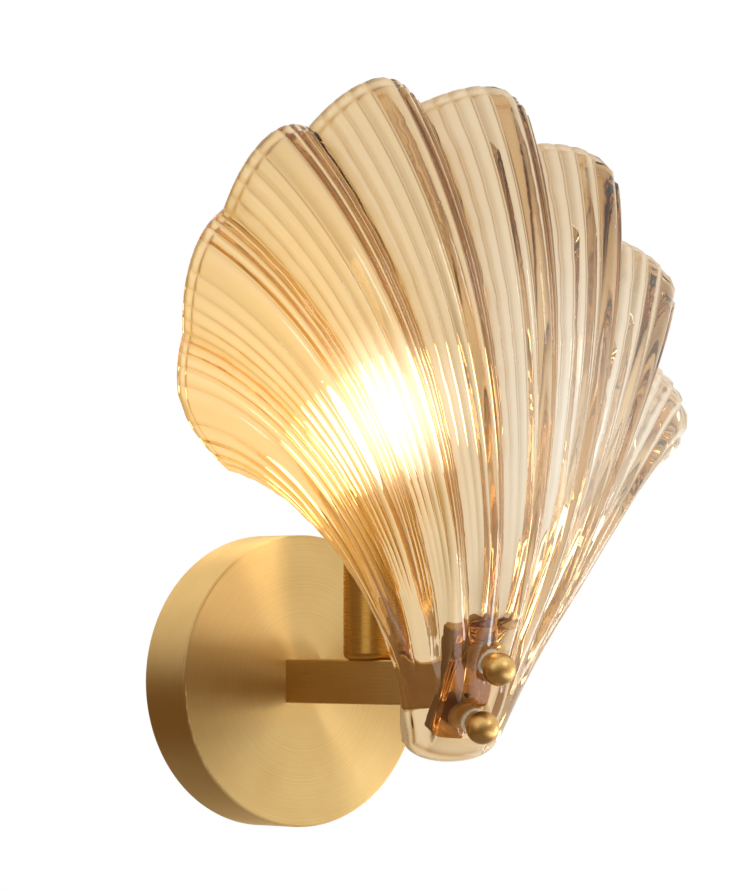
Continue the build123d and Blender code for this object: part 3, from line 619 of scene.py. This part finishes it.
FINISHES = {
    FACE_BRASS: ("canopy", "canopy_grub_screws"),
    ARM_BRASS: ("arm_tube",),
    SHADED_CLAMP_BRASS: ("shade_clamp_bar", "clamp_screw"),
    POST_BRASS: ("lamp_cup",),
    KNOB_BRASS: ("upper_ball_nut", "lower_ball_nut"),
    PLAIN_BRASS: (
        "arm_root_block", "arm_end_block", "shade_studs", "earth_screw", "earth_washer",
        "lampholder_contact", "bulb_contact", "terminal_tubes",
    ),
    ZINC: (
        "wall_strap", "arm_nipple", "canopy_washer", "nipple_nut", "cup_nipple", "cup_square_nut",
        "cup_lock_nut", "terminal_screws", "bulb_filament",
    ),
    NICKEL: ("earth_lug", "lampholder_screw_shell", "bulb_base_shell"),
    MouldedFinish(
        "Moulded black phenolic", "#2a211c", "#3a2d25", roughness=0.3, speck_mm=0.6
    ): ("lampholder_cap", "lampholder_body"),
    MouldedFinish(
        "Moulded natural nylon", "#e6e3d8", "#d5d0c1", roughness=0.42, speck_mm=1.5
    ): ("terminal_block",),
    MouldedFinish(
        "Polyethylene foam tape", "#d9d9d4", "#b9b9b2", roughness=0.8, speck_mm=0.5, depth_mm=0.1
    ): ("terminal_pad",),
    MouldedFinish(
        "Translucent silicone rubber", "#fbf0d8", "#f4e4c4", roughness=0.3, speck_mm=2.0
    ): ("rear_washers", "front_washers", "hole_sleeves"),
    MouldedFinish(
        "Black glass insulator", "#1d1b1c", "#2c292b", roughness=0.15, speck_mm=1.0
    ): ("bulb_insulator",),
    MouldedFinish("Brown PVC wire", "#5a3420", "#4a2a1a", roughness=0.38): ("wire_live",),
    MouldedFinish("Blue PVC wire", "#2a5a9c", "#224c86", roughness=0.38): ("wire_neutral",),
    MouldedFinish(
        "Green and yellow PVC wire", "#3f8a3a", "#357a32", roughness=0.38, stripe="#e3c43a"
    ): ("wire_earth",),
    LampGlass(
        "Opal bulb glass, lit", "#f4ead6", glow="#ffeccb", strength=6.0, roughness=0.25
    ): ("bulb_globe",),
    LampGlass("Clear lead glass", "#fbfdfb", roughness=0.03): ("bulb_stem",),
}


# ---------------------------------------------------------------- surfaces
def grid_faces(rows: int, columns: int, first: int = 0, wrap: bool = False) -> Array:
    """Quads of a grid of points numbered row by row.

    Args:
        rows: number of rows of points.
        columns: number of points in a row.
        first: number of the grid's first point.
        wrap: joins the last column to the first.

    Returns:
        One row of four point numbers for each quad.
    """
    numbers = first + np.arange(rows * columns).reshape(rows, columns)
    if wrap:
        numbers = np.concatenate([numbers, numbers[:, :1]], axis=1)
    corners = (numbers[:-1, :-1], numbers[:-1, 1:], numbers[1:, 1:], numbers[1:, :-1])
    return np.stack([c.ravel() for c in corners], axis=1)


def make_piece(
    name: str, points: Array, faces: Array, body: Body, amber: Array | None = None
) -> bpy.types.Object:
    """Make a closed smooth piece from points in mm and let it ride on a body.

    Args:
        name: piece's name.
        points: points in mm, in the row frame.
        faces: quads as point numbers.
        body: body that the piece rides on.
        amber: value of the "amber" attribute at each point, 0 to 1, the depth of the painted shade, or None
            for none.

    Returns:
        The new object, at the origin, with doubles merged and faces pointing outwards.
    """
    mesh = bpy.data.meshes.new(name)
    mesh.from_pydata((points.reshape(-1, 3) * MM).tolist(), [], faces.tolist())
    if amber is not None:
        layer = mesh.attributes.new("amber", "FLOAT", "POINT")
        layer.data.foreach_set("value", amber.ravel().astype(np.float32))
    shape = bmesh.new()
    shape.from_mesh(mesh)
    bmesh.ops.remove_doubles(shape, verts=shape.verts, dist=MERGE_DISTANCE)
    bmesh.ops.recalc_face_normals(shape, faces=shape.faces)
    shape.to_mesh(mesh)
    shape.free()
    mesh.polygons.foreach_set("use_smooth", np.ones(len(mesh.polygons), bool))
    piece = bpy.data.objects.new(name, mesh)
    bpy.context.scene.collection.objects.link(piece)
    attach(piece, body.value)
    LOG.info("%s: %d faces", name, len(mesh.polygons))
    return piece


def smooth_step(value: Array, start: float, end: float) -> Array:
    """0 before start, 1 after end, and an even S between them."""
    part = np.clip((value - start) / (end - start), 0, 1)
    return part * part * (3 - 2 * part)


def unit(vectors: Array) -> Array:
    """Vectors of length 1 in the same directions."""
    return vectors / np.linalg.norm(vectors, axis=-1, keepdims=True)


def node_points(node: str) -> Array:
    """Read where the points of a CAD node lie.

    Args:
        node: node's name.

    Returns:
        Points in mm, in the row frame.
    """
    mesh = frame["nodes"][node].data
    flat = np.empty(len(mesh.vertices) * 3, np.float32)
    mesh.vertices.foreach_get("co", flat)
    return flat.reshape(-1, 3) / MM


# ---------------------------------------------------------------- glass shell
@dataclass(frozen=True)
class Station:
    """One of the points that the shell's ribs are drawn through, in mm.

    Attributes:
        width: half of the width that the ribs spread over there.
        height: height on the middle rib.
        rise: how much higher it lies on the outer ribs.
        reach: distance from the wall on the middle rib.
        fall: how much nearer the wall it lies on the outer ribs.
    """

    width: float
    height: float
    rise: float
    reach: float
    fall: float = 0.0


@dataclass
class GlassShell:
    """The scallop shell: eight lobes fanned out from its tip, each with pressed flutes.

    Two parameters place every point. Along runs from 0 at the tip to 1 at the rim, and across from
    -1 to 1 over the fan. Lengths are in mm and angles in degrees. Names that end in start, from,
    until, full, span or breaks are values of along or across, and names that end in amber are
    depths of painted shade, an amber tint from 0 to 1, with the width of a line where there are two.
    """

    thickness: float = 5.5
    lobe_count: int = 8
    fan_half_angle: float = 111.0
    rib_bunching: float = 0.9
    fan_radius: float = 124.0
    fan_centre_height: float = 123.5
    fan_top_flattening: float = 0.06
    rim_reach: float = 109.0
    rim_lean: float = 0.04
    rim_edge_rise: float = 10.0
    belly: Station = Station(width=93.0, height=151.0, rise=-63.5, reach=184.0, fall=52.0)
    throat: Station = Station(width=40.0, height=21.5, rise=9.5, reach=177.5, fall=37.5)
    tip: Station = Station(width=21.5, height=-32.0, rise=8.5, reach=128.0)
    rib_length: float = 2.2
    tip_girth: float = 1.2
    fan_girth: float = 1.7
    edge_lean: float = 20.0
    corner_start: float = 0.85
    corner_cut: float = 0.16
    lobe_depth: float = 16.9
    lobe_growth: float = 0.77
    lobe_sharpness: float = 0.8
    lobe_skew: float = 1.10
    valley: float = 0.10
    lobe_sunk: float = 0.62
    smooth_until: float = 0.10
    full_from: float = 0.40
    flute_edges: tuple[float, ...] = (0.0, 0.08, 0.17, 0.27, 0.39, 0.62, 0.73, 0.83, 0.92, 1.0)
    flute_columns: tuple[float, ...] = (0.0, 0.07, 0.3, 0.7, 0.93)
    flute_relief: float = 1.5
    flute_growth: float = 0.6
    full_flute: float = 0.10
    tallest_flute: float = 1.5
    flutes_from: float = 0.26
    flutes_full: float = 0.62
    rim_band: float = 6.0
    rim_step_width: float = 0.9
    rim_calm: float = 0.55
    rim_step: float = 1.0
    rim_slope: float = 0.6
    rim_bulge: float = 1.8
    wobble: float = 0.35
    wobble_lengths: tuple[float, ...] = (47.0, 26.0, 14.0)
    wobble_phase: float = 1.9
    # Painted shade: depths of the amber darkening in valleys, grooves, the rim band's line, the outline and
    # the edge.
    valley_amber: float = 0.35
    groove_amber: float = 0.7
    band_amber: Pair = (0.85, 0.9)
    outline_amber: Pair = (0.8, 1.6)
    edge_amber: float = 0.5
    tip_line_extra: float = 1.3
    tip_line_span: Pair = (0.03, 0.15)
    row_breaks: tuple[float, ...] = (0.006, 0.25, 0.96, 0.9935)
    row_counts: tuple[int, ...] = (52, 52, 14)
    column_breaks: Pair = (0.955, 0.9945)
    edge_columns: int = 14
    edge_rows: int = 6
    spot_radius: float = 6.5
    pad_half_width: float = 11.0
    pad_above: float = 22.0
    pad_below: float = 30.0
    pad_depth: float = 7.5
    pad_slope: float = 5.0
    soft_edge: float = 0.5
    stud_offsets: Pair = (9.5, -15.7)
    finish: PressedGlass = field(default_factory=PressedGlass)

    def dome(self, along: Array, across: Array) -> Array:
        """Smooth dome without lobes.

        Each rib is a cubic curve: the four stations tip, throat, belly and rim are weighted by
        (1-a)^3, 3a(1-a)^2, 3a^2(1-a) and a^3, where a is along. The rim is a circle of the fan's
        radius, flattened at its top.

        Args:
            along: 0 at the tip to 1 at the rim.
            across: -1 to 1 over the fan.

        Returns:
            Points in mm, with a last axis of 3.
        """
        along, across = np.broadcast_arrays(along, across)
        square = across**2
        angle = math.radians(self.fan_half_angle) * across
        full = math.sin(self.rib_bunching * math.pi / 2)
        swing = self.rib_bunching * math.pi / 2 * across
        spread = np.sin(swing) / full
        rise = self.fan_radius * np.cos(angle)
        top = np.where(rise > 0, 1 - self.fan_top_flattening, 1.0)
        courses = (
            (self.tip, spread, 1 - np.cos(swing)),
            (self.throat, across, square),
            (self.belly, spread, square),
        )
        stations = [
            (s.width * sideways, s.reach - s.fall * square, s.height + s.rise * upwards)
            for s, sideways, upwards in courses
        ]
        stations.append(
            (
                self.fan_radius * np.sin(angle),
                self.rim_reach + self.rim_lean * rise + self.rim_edge_rise * square,
                self.fan_centre_height + rise * top,
            )
        )
        rest = 1 - along
        weights = (rest**3, 3 * along * rest**2, 3 * along**2 * rest, along**3)
        x, reach, z = (sum(w * s[i] for w, s in zip(weights, stations)) for i in range(3))
        return np.stack([x, -reach, z], axis=-1)

    def place_in_lobe(self, across: Array) -> Array:
        """Place inside a lobe, 0 to 1, counted outwards from the middle of the shell."""
        whole = np.abs(across) * self.lobe_count / 2
        return np.where(np.abs(across) >= 1, 1.0, whole % 1.0)

    def lobes(self, across: Array) -> Array:
        """Height of the lobes: a sine arch with a small round valley, raised to a power.

        Args:
            across: -1 to 1 over the fan.

        Returns:
            0 in a valley to 1 on a crest.
        """
        swell = np.abs(np.sin(math.pi * self.place_in_lobe(across) ** self.lobe_skew))
        floor = self.valley
        rounded = (np.sqrt(swell**2 + floor**2) - floor) / (math.sqrt(1 + floor**2) - floor)
        return rounded**self.lobe_sharpness

    def flutes(self, across: Array) -> Array:
        """Height of the flutes: a parabola over each, lower where the flute is narrow.

        Args:
            across: -1 to 1 over the fan.

        Returns:
            0 in a groove to 1 on a full flute, and up to tallest_flute on a wide one.
        """
        edges = np.array(self.flute_edges)
        place = self.place_in_lobe(across)
        number = np.clip(np.searchsorted(edges, place, side="right") - 1, 0, len(edges) - 2)
        width = edges[number + 1] - edges[number]
        part = (place - edges[number]) / width
        return 4 * part * (1 - part) * np.minimum(width / self.full_flute, self.tallest_flute)

    def wobbles(self, along: Array, across: Array) -> Array:
        """Unevenness of the steps between lobes, where the glass has run in the mould.

        It is a sum of sines of the length along the rib, with a phase of its own in each lobe, and
        counts only near a valley.

        Args:
            along: 0 to 1 from tip to rim.
            across: -1 to 1 over the fan.

        Returns:
            Heights in mm.
        """
        lobe = np.floor((across + 1) * self.lobe_count / 2)
        near = (1 - self.lobes(across)) ** 2
        turn = 2 * math.pi * along * self.rib_length * self.fan_radius
        waves = [
            np.sin(turn / length + lobe * (self.wobble_phase + number))
            for number, length in enumerate(self.wobble_lengths)
        ]
        return self.wobble * near * sum(waves)

    def amber(self, along: Array, across: Array, fluted: bool) -> Array:
        """How deep the painted shade is: an amber tint, most in grooves, in valleys and along the edge's
        lines.

        The lines are bell curves of the distance to the edge.

        Args:
            along: 0 to 1 from tip to rim.
            across: -1 to 1 over the fan.
            fluted: counts grooves and lines too, as on the front.

        Returns:
            0 for the plain tint to 1 for amber.
        """
        start = smooth_step(along, self.flutes_from, self.flutes_full)
        valley = (1 - self.lobes(across)) ** 2.5
        depth = self.valley_amber * smooth_step(along, self.smooth_until, self.full_from) * valley
        if fluted:
            away = self.edge_distance(along, across)
            groove = (1 - np.minimum(self.flutes(across), 1)) ** 2
            band_depth, band_width = self.band_amber
            outline_depth, outline_width = self.outline_amber
            wide = band_width + self.tip_line_extra * (1 - smooth_step(along, *self.tip_line_span))
            line = np.exp(-(((away - self.rim_band + self.soft_edge) / wide) ** 2))
            outline = np.exp(-((away / outline_width) ** 2))
            depth = depth + self.groove_amber * start * groove + band_depth * line + outline_depth * outline
        return np.clip(depth, 0, 1)

    def edge_distance(self, along: Array, across: Array) -> Array:
        """Rough distance to the nearest edge of the shell, measured over its surface.

        A rib's length and the fan's half width are shares of the fan's radius and the tip's width.

        Args:
            along: 0 to 1 from tip to rim.
            across: -1 to 1 over the fan.

        Returns:
            Distances in mm.
        """
        length = self.fan_radius * self.rib_length
        half_width = self.tip.width * self.tip_girth + (self.fan_radius * self.fan_girth) * along
        return np.minimum(
            np.minimum((1 - along) * length, along * length), (1 - np.abs(across)) * half_width
        )

    def normal(self, along: Array, across: Array) -> Array:
        """Directions off the dome's front, which turn to one that leans by edge_lean at the tip.

        Each is the cross product of two short steps over the dome.

        Args:
            along: 0 to 1 from tip to rim.
            across: -1 to 1 over the fan.

        Returns:
            Vectors of length 1.
        """
        step = 1e-3
        right = self.dome(along, np.minimum(across + step, 1))
        left = self.dome(along, np.maximum(across - step, -1))
        upwards = self.dome(along + step, across) - self.dome(along - step, across)
        normal = unit(np.cross(upwards, right - left))
        normal = np.where(normal[..., 1:2] > 0, -normal, normal)
        lean = math.radians(self.edge_lean)
        tip_axis = np.array([0, -math.cos(lean), -math.sin(lean)])
        grip = smooth_step(along, 0.0, self.full_from / 2)[..., None]
        return unit(normal * grip + tip_axis * (1 - grip))

    def skin(self, along: Array, across: Array, depth: float, fluted: bool) -> Array:
        """One face of the shell: the dome pushed along its normal by lobes, flutes and rim band.

        Args:
            along: 0 to 1 from tip to rim.
            across: -1 to 1 over the fan.
            depth: distance behind the front face.
            fluted: adds the flutes and the band round the edge.

        Returns:
            Points in mm.
        """
        along, across = np.broadcast_arrays(along, across)
        past = np.maximum((np.abs(across) - self.corner_start) / (1 - self.corner_start), 0)
        along = along * (1 - self.corner_cut * past**2)
        normal = self.normal(along, across)
        fade = smooth_step(along, self.smooth_until, self.full_from)
        height = self.lobe_depth * along**self.lobe_growth * fade * (self.lobes(across) - self.lobe_sunk)
        if fluted:
            start = smooth_step(along, self.flutes_from, self.flutes_full)
            inside = self.rim_band - self.edge_distance(along, across)
            step = np.clip(inside / self.rim_step_width, 0, 1)
            relief = self.flute_relief * along**self.flute_growth * start * (1 - self.rim_calm * step)
            height = height + relief * (self.flutes(across) - 0.5)
            height = height + self.wobbles(along, across) * fade
            slope = np.clip(inside / self.rim_band, 0, 1) ** 2
            height = height - self.rim_step * step - self.rim_slope * slope
        return self.dome(along, across) + normal * (height - depth)[..., None]

    def parameters(self) -> tuple[Array, Array]:
        """Rows and columns of the grid.

        Rows are closer near the clamp and in the rim's band. Columns lie on every flute's edge.

        Returns:
            Along values as a column and across values as a row.
        """
        end = self.row_breaks[-1]
        parts = zip(self.row_breaks, self.row_breaks[1:], self.row_counts)
        along = np.concatenate([np.linspace(a, b, n, endpoint=b == end) for a, b, n in parts])
        edges = np.array(self.flute_edges)
        one = (edges[:-1, None] + np.diff(edges)[:, None] * np.array(self.flute_columns)).ravel()
        half = (np.arange(self.lobe_count // 2)[:, None] + one).ravel() / (self.lobe_count / 2)
        dense = np.linspace(*self.column_breaks, self.edge_columns)
        half = np.append(half[half < dense[0]], dense)
        return along[:, None], np.concatenate([-half[:0:-1], half])[None, :]

    def clamp_frame(self) -> tuple[Array, Array, float, list[float]]:
        """Find the clamp in the frame.

        Returns:
            Direction of the studs, direction up the clamp bar, distance of the washers' seat along
            the studs, and the studs' heights up the bar, in mm.
        """
        joint = next(j for j in frame["joints"] if j["name"] == "shade_off")
        axis = unit(np.array(joint["axis"], float))
        up = np.array([0.0, axis[2], -axis[1]])
        seat = float((node_points("front_washers") @ axis).min())
        middle = seat / axis[1] * axis[2]
        return axis, up, seat, [middle + offset for offset in self.stud_offsets]

    def fit_clamp(self, front: Array, back: Array) -> tuple[Array, Array]:
        """Cut the round spot faces into the front and the flat land into the back.

        Inside a spot face every point moves along the studs to the washers' seat, and inside the
        land to the plane that lies pad_depth behind it.

        Args:
            front: points of the front face.
            back: points of the back face.

        Returns:
            The two faces, changed near the clamp.
        """
        axis, up, seat, heights = self.clamp_frame()
        for height in heights:
            away = np.hypot(front[..., 0], front @ up - height)
            inside = 1 - smooth_step(away, self.spot_radius, self.spot_radius + self.soft_edge)
            front = front + axis * ((seat - front @ axis) * inside)[..., None]
        middle = heights[0] - self.stud_offsets[0]
        climb = back @ up - middle
        centre = (self.pad_above - self.pad_below) / 2
        half = (self.pad_above + self.pad_below) / 2
        outside = np.maximum(np.abs(back[..., 0]) - self.pad_half_width, np.abs(climb - centre) - half)
        inside = 1 - smooth_step(outside, -self.soft_edge, self.pad_slope)
        back = back + axis * ((seat - self.pad_depth - back @ axis) * inside)[..., None]
        return front, back

    def edge_loop(self, face: Array) -> Array:
        """Points of a face's outline in order: rim, right side, tip, left side."""
        return np.concatenate([face[-1], face[-2::-1, -1], face[0, -2::-1], face[1:-1, 0]])

    def outward(self, face: Array) -> Array:
        """Directions that point off a face's edge.

        Args:
            face: points of the face.

        Returns:
            A vector of length 1 for each point of its outline.
        """
        pad = np.zeros_like(face)
        pad[-1] += unit(face[-1] - face[-2])
        pad[0] += unit(face[0] - face[1])
        pad[:, -1] += unit(face[:, -1] - face[:, -2])
        pad[:, 0] += unit(face[:, 0] - face[:, 1])
        return unit(self.edge_loop(pad))

    def build(self) -> bpy.types.Object:
        """Build the shell as a closed piece with a rounded edge.

        The edge is a half ellipse: the middle of the wall, plus half the wall times a cosine, plus
        the outward direction times rim_bulge times a sine.

        Returns:
            The glass piece, standing for its CAD node.
        """
        along, across = self.parameters()
        front = self.skin(along, across, 0.0, True)
        back = self.skin(along, across, self.thickness, False)
        front, back = self.fit_clamp(front, back)
        rows, columns = front.shape[:2]
        near, far = self.edge_loop(front), self.edge_loop(back)
        turn = np.linspace(0, math.pi, self.edge_rows)[:, None, None]
        edge = (near + far) / 2 + (near - far) / 2 * np.cos(turn)
        edge = edge + self.outward(front) * self.rim_bulge * np.sin(turn)
        points = np.concatenate([front.reshape(-1, 3), back.reshape(-1, 3), edge.reshape(-1, 3)])
        # Painted shade in amber: grooves and lines on the front, valleys on the back, and the rounded edge.
        amber = np.concatenate(
            [
                self.amber(along, across, True).ravel(),
                self.amber(along, across, False).ravel(),
                np.full(edge.shape[0] * edge.shape[1], self.edge_amber),
            ]
        )
        count = rows * columns
        faces = np.concatenate(
            [
                grid_faces(rows, columns),
                grid_faces(rows, columns, count),
                grid_faces(len(turn), near.shape[0], 2 * count, wrap=True),
            ]
        )
        piece = make_piece("glass_shell", points, faces, Body.SHADE, amber)
        piece.data.materials.append(self.finish.material())
        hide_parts("shell_glass")
        return piece


# ---------------------------------------------------------------- bulb base
@dataclass
class ThreadedBase:
    """Rolled thread of the bulb's 14 mm screw base.

    Sizes are in mm. The thread's crests touch the CAD base's outside.
    """

    radius: float = 6.9
    wall: float = 0.4
    low: float = 55.4
    high: float = 74.4
    pitch: float = 2.82
    thread_depth: float = 0.55
    run_out: float = 1.5
    columns: int = 72
    rows: int = 90
    centre: Pair = (0.0, -78.0)
    finish: BrushedMetal = NICKEL

    def build(self) -> bpy.types.Object:
        """Build the base as a closed sleeve.

        The outer radius is the crest radius less half the thread depth times one less the cosine
        of the height in turns less the angle, and fades out at both ends. The inner wall is smooth.

        Returns:
            The threaded piece, standing for its CAD node.
        """
        angle = np.linspace(0, 2 * math.pi, self.columns, endpoint=False)[None, :]
        height = np.linspace(self.low, self.high, self.rows)[:, None]
        turns = 2 * math.pi * height / self.pitch - angle
        starts = smooth_step(height, self.low, self.low + self.run_out)
        ends = smooth_step(height, self.high - 2 * self.run_out, self.high - self.run_out)
        fade = starts * (1 - ends)
        outer = self.radius - self.thread_depth / 2 * (1 - np.cos(turns)) * fade
        inner = np.full_like(outer, self.radius - self.thread_depth - self.wall)
        radius = np.concatenate([outer, inner[::-1], outer[:1]])
        level = np.concatenate([height, height[::-1], height[:1]]) + 0 * radius
        x = self.centre[0] + radius * np.cos(angle)
        y = self.centre[1] + radius * np.sin(angle)
        points = np.stack([x, y, level], axis=-1)
        faces = grid_faces(points.shape[0], points.shape[1], wrap=True)
        piece = make_piece("bulb_base_thread", points, faces, Body.BULB)
        piece.data.materials.append(self.finish.material())
        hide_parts("bulb_base_shell")
        return piece


# ---------------------------------------------------------------- carried-over nodes
@dataclass
class MetalAndFittings:
    """Everything of the sconce whose CAD shape is right and that only takes its finish here."""

    finishes: dict = field(default_factory=lambda: FINISHES)

    def dress(self) -> None:
        """Give each CAD node listed in the finishes the material of its real finish, and log the nodes left
        without one.
        """
        bare = set(frame["nodes"])
        for finish, nodes in self.finishes.items():
            material = finish.material()
            for node in nodes:
                frame["nodes"][node].material_slots[0].material = material
                bare.discard(node)
            LOG.info("%s on %d nodes", finish.name, len(nodes))
        LOG.info("nodes without a finish of their own: %s", sorted(bare))


# ---------------------------------------------------------------- studio
@dataclass(frozen=True)
class Softbox:
    """Soft rectangular light that faces the sconce and isn't seen itself.

    Distance and size are in metres, and a radiance of 1 is white.
    """

    name: str
    direction: Point
    distance: float
    size: Pair
    radiance: float

    def build(self, subject: Point) -> None:
        """Add the light.

        Args:
            subject: point of the sconce that it is turned to, in metres.
        """
        data = bpy.data.lights.new(self.name, "AREA")
        data.shape = "RECTANGLE"
        data.size, data.size_y = self.size
        data.energy = self.radiance * math.pi * self.size[0] * self.size[1]
        light = bpy.data.objects.new(self.name, data)
        bpy.context.scene.collection.objects.link(light)
        away = Vector(self.direction).normalized()
        turn = away.to_track_quat("Z", "Y").to_matrix().to_4x4()
        light.matrix_world = Matrix.Translation(Vector(subject) + away * self.distance) @ turn
        light.visible_camera = False


SOFTBOXES = (
    Softbox("Key softbox", (0.20, -0.845, 0.495), 1.5, (0.35, 0.35), 6.0),
    Softbox("Left fill", (-0.95, -0.20, 0.25), 1.6, (0.8, 1.0), 0.8),
    Softbox("Low bounce", (0.45, -0.65, -0.60), 1.3, (1.2, 0.5), 1.3),
    Softbox("Right softbox", (0.90, -0.30, -0.31), 1.5, (0.5, 0.6), 6.5),
)


@dataclass
class Studio:
    """Pale floor, soft lights, a plain surround and the camera at the photograph's angle.

    Angles are in degrees and lengths in metres. Each part of the surround holds the two values
    between which it comes: of a ray's height (ceiling, front_floor), of the side it goes to
    (right_wall, not_left), of how far it goes to the camera's side (front), of its slope (level)
    and of the panels' cosine (panel_edge). Metal sees the dark and bright sides, and glass sees
    white and, in the gaps, the dim side. Above and below the level part, gap_above of them is left.
    """

    azimuth: float = -36.9
    elevation: float = -2.2
    distance: float = 2.0
    lens: float = 200.9
    sensor: float = 36.0
    clip: Pair = (0.1, 60.0)
    target: Point = (0.0, -0.080, 0.0)
    aside: float = -0.00345
    above: float = 0.0954
    subject: Point = (0.0, -0.08, 0.08)
    floor_level: float = -1.3
    floor_radius: float = 1.5
    floor_rings: tuple[float, ...] = (0.0, 0.3, 0.8, 1.0)
    floor_columns: int = 96
    floor_colours: tuple[str, str] = ("#f4f3f1", "#eeedea")
    floor_specks_per_m: float = 40.0
    floor_plain: float = 0.8
    ambient: float = 0.62
    ceiling: Pair = (0.05, 0.75)
    front_floor: Pair = (-0.12, -0.6)
    front: Pair = (-0.6, 0.2)
    not_left: Pair = (-0.5, 0.2)
    right_wall: Pair = (0.15, 0.65)
    right_wall_level: float = 0.75
    panels: int = 5
    panel_edge: Pair = (-0.5, 0.9)
    level: Pair = (0.15, 0.60)
    gap_above: float = 0.2
    dark_side: Colour = (0.21, 0.115, 0.04, 1.0)
    bright_side: Colour = (1.35, 1.30, 1.18, 1.0)
    dim_side: Colour = (0.55, 0.49, 0.40, 1.0)

    def axes(self) -> tuple[Vector, Vector, Vector]:
        """Work out how the camera is turned.

        Returns:
            Directions from the subject back to the camera, to its right, and up in its picture.
        """
        turn = math.radians(self.azimuth)
        tilt = math.radians(self.elevation)
        back = Vector((math.sin(turn) * math.cos(tilt), -math.cos(turn) * math.cos(tilt), math.sin(tilt)))
        right = Vector((math.cos(turn), math.sin(turn), 0))
        return back, right, back.cross(right)

    def camera(self) -> None:
        """Make the camera and make it the scene's."""
        back, right, up = self.axes()
        data = bpy.data.cameras.new("Camera")
        data.lens = self.lens
        data.sensor_width = self.sensor
        data.clip_start, data.clip_end = self.clip
        camera = bpy.data.objects.new("Camera", data)
        bpy.context.scene.collection.objects.link(camera)
        place = Vector(self.target) + right * self.aside + up * self.above + back * self.distance
        turn = Matrix((right, up, back)).transposed().to_4x4()
        camera.matrix_world = Matrix.Translation(place) @ turn
        bpy.context.scene.camera = camera

    def seen_in_metal(self, tree: Tree, ways: Socket, facing: Socket) -> Socket:
        """Colour of the studio in metal.

        Args:
            tree: the world's node tree.
            ways: the ray's direction.
            facing: how far it goes to the camera's side.

        Returns:
            A warm dark horizon, and a bright ceiling, front floor and right wall.
        """
        aside, _, height = coordinates(tree, ways)
        above = ramp(tree, height, *self.ceiling)
        front = times(tree, ramp(tree, facing, *self.front), ramp(tree, aside, *self.not_left))
        below = times(tree, ramp(tree, height, *self.front_floor), front)
        beside = times(tree, ramp(tree, aside, *self.right_wall), self.right_wall_level)
        lit = arithmetic(tree, "MAXIMUM", arithmetic(tree, "MAXIMUM", above, below), beside)
        return blend_colours(tree, lit, self.dark_side, self.bright_side)

    def seen_through_glass(self, tree: Tree, ways: Socket, facing: Socket) -> Socket:
        """Colour of the studio through glass.

        Args:
            tree: the world's node tree.
            ways: the ray's direction.
            facing: how far it goes to the camera's side.

        Returns:
            A ring of white panels with dimmer gaps, one of them straight behind the sconce: the
            cosine of the ray's angle about Z times their number. Ceiling and floor are white.
        """
        sideways = dot(tree, ways, tuple(self.axes()[1]))
        angle = arithmetic(tree, "ARCTAN2", sideways, times(tree, facing, -1.0))
        panel = arithmetic(tree, "COSINE", times(tree, angle, float(self.panels)))
        slope = arithmetic(tree, "ABSOLUTE", coordinates(tree, ways)[2])
        gap = times(
            tree,
            ramp(tree, panel, *self.panel_edge, 1.0, 0.0),
            ramp(tree, slope, *self.level, 1.0, self.gap_above),
        )
        return blend_colours(tree, gap, WHITE, self.dim_side)

    def surround(self) -> None:
        """Fill the world: white to the camera, and a studio to what metal and glass show."""
        world = bpy.data.worlds.new("Soft studio")
        bpy.context.scene.world = world
        world.use_nodes = True
        tree = world.node_tree
        tree.nodes.clear()
        rays = add(tree, "LightPath").outputs
        ways = add(tree, "TexCoord").outputs["Generated"]
        facing = dot(tree, ways, tuple(self.axes()[0]))
        seen = blend_colours(
            tree,
            rays["Is Transmission Ray"],
            self.seen_in_metal(tree, ways, facing),
            self.seen_through_glass(tree, ways, facing),
        )
        shiny = arithmetic(tree, "MAXIMUM", rays["Is Glossy Ray"], rays["Is Transmission Ray"])
        plain = (self.ambient, self.ambient, self.ambient, 1.0)
        shown = blend_colours(tree, shiny, plain, seen)
        shown = blend_colours(tree, rays["Is Camera Ray"], shown, WHITE)
        cover(tree, add(tree, "OutputWorld"), "Background", Color=shown, Strength=1.0)

    def floor(self) -> None:
        """Lay a plain pale floor well below the sconce, white to the camera but with its shadows.

        Metal sees it dimmer, as a floor that lies in the shade of the room.
        """
        angle = np.linspace(0, 2 * math.pi, self.floor_columns, endpoint=False)[None, :]
        radius = np.array(self.floor_rings)[:, None] * self.floor_radius
        level = self.floor_level + 0 * radius * angle
        points = np.stack([radius * np.cos(angle), radius * np.sin(angle), level], axis=-1)
        faces = grid_faces(len(self.floor_rings), self.floor_columns, wrap=True)
        mesh = bpy.data.meshes.new("floor")
        mesh.from_pydata(points.reshape(-1, 3).tolist(), [], faces.tolist())
        floor = bpy.data.objects.new("floor", mesh)
        bpy.context.scene.collection.objects.link(floor)
        material, tree, output = new_material("Pale matt studio floor")
        speckle = add(
            tree, "TexNoise", Vector=place_in(tree), Scale=self.floor_specks_per_m, Detail=3.0
        ).outputs[0]
        colour = blend_colours(tree, speckle, *map(linear, self.floor_colours))
        matt = add(tree, "BsdfDiffuse", Color=colour).outputs[0]
        rays = add(tree, "LightPath").outputs
        clear = arithmetic(tree, "MAXIMUM", rays["Is Camera Ray"], rays["Is Transmission Ray"])
        shown = blend_colours(tree, clear, self.dark_side, WHITE)
        plain = add(tree, "Emission", Color=shown, Strength=1.0).outputs[0]
        seen = arithmetic(tree, "MAXIMUM", rays["Is Camera Ray"], rays["Is Glossy Ray"])
        share = times(tree, seen, self.floor_plain)
        cover(tree, output, "MixShader", {"at": {0: share, 1: matt, 2: plain}})
        mesh.materials.append(material)

    def build(self) -> None:
        """Set the camera, the surround, the floor and the lights."""
        self.camera()
        self.surround()
        self.floor()
        for softbox in SOFTBOXES:
            softbox.build(self.subject)
        bpy.context.scene.view_settings.view_transform = "Standard"


def main() -> None:
    """Build the studio, dress the CAD nodes and add the new pieces."""
    logging.basicConfig(level=logging.INFO, format="%(name)s: %(message)s")
    Studio().build()
    MetalAndFittings().dress()
    GlassShell().build()
    ThreadedBase().build()


if __name__ == "__main__":
    main()
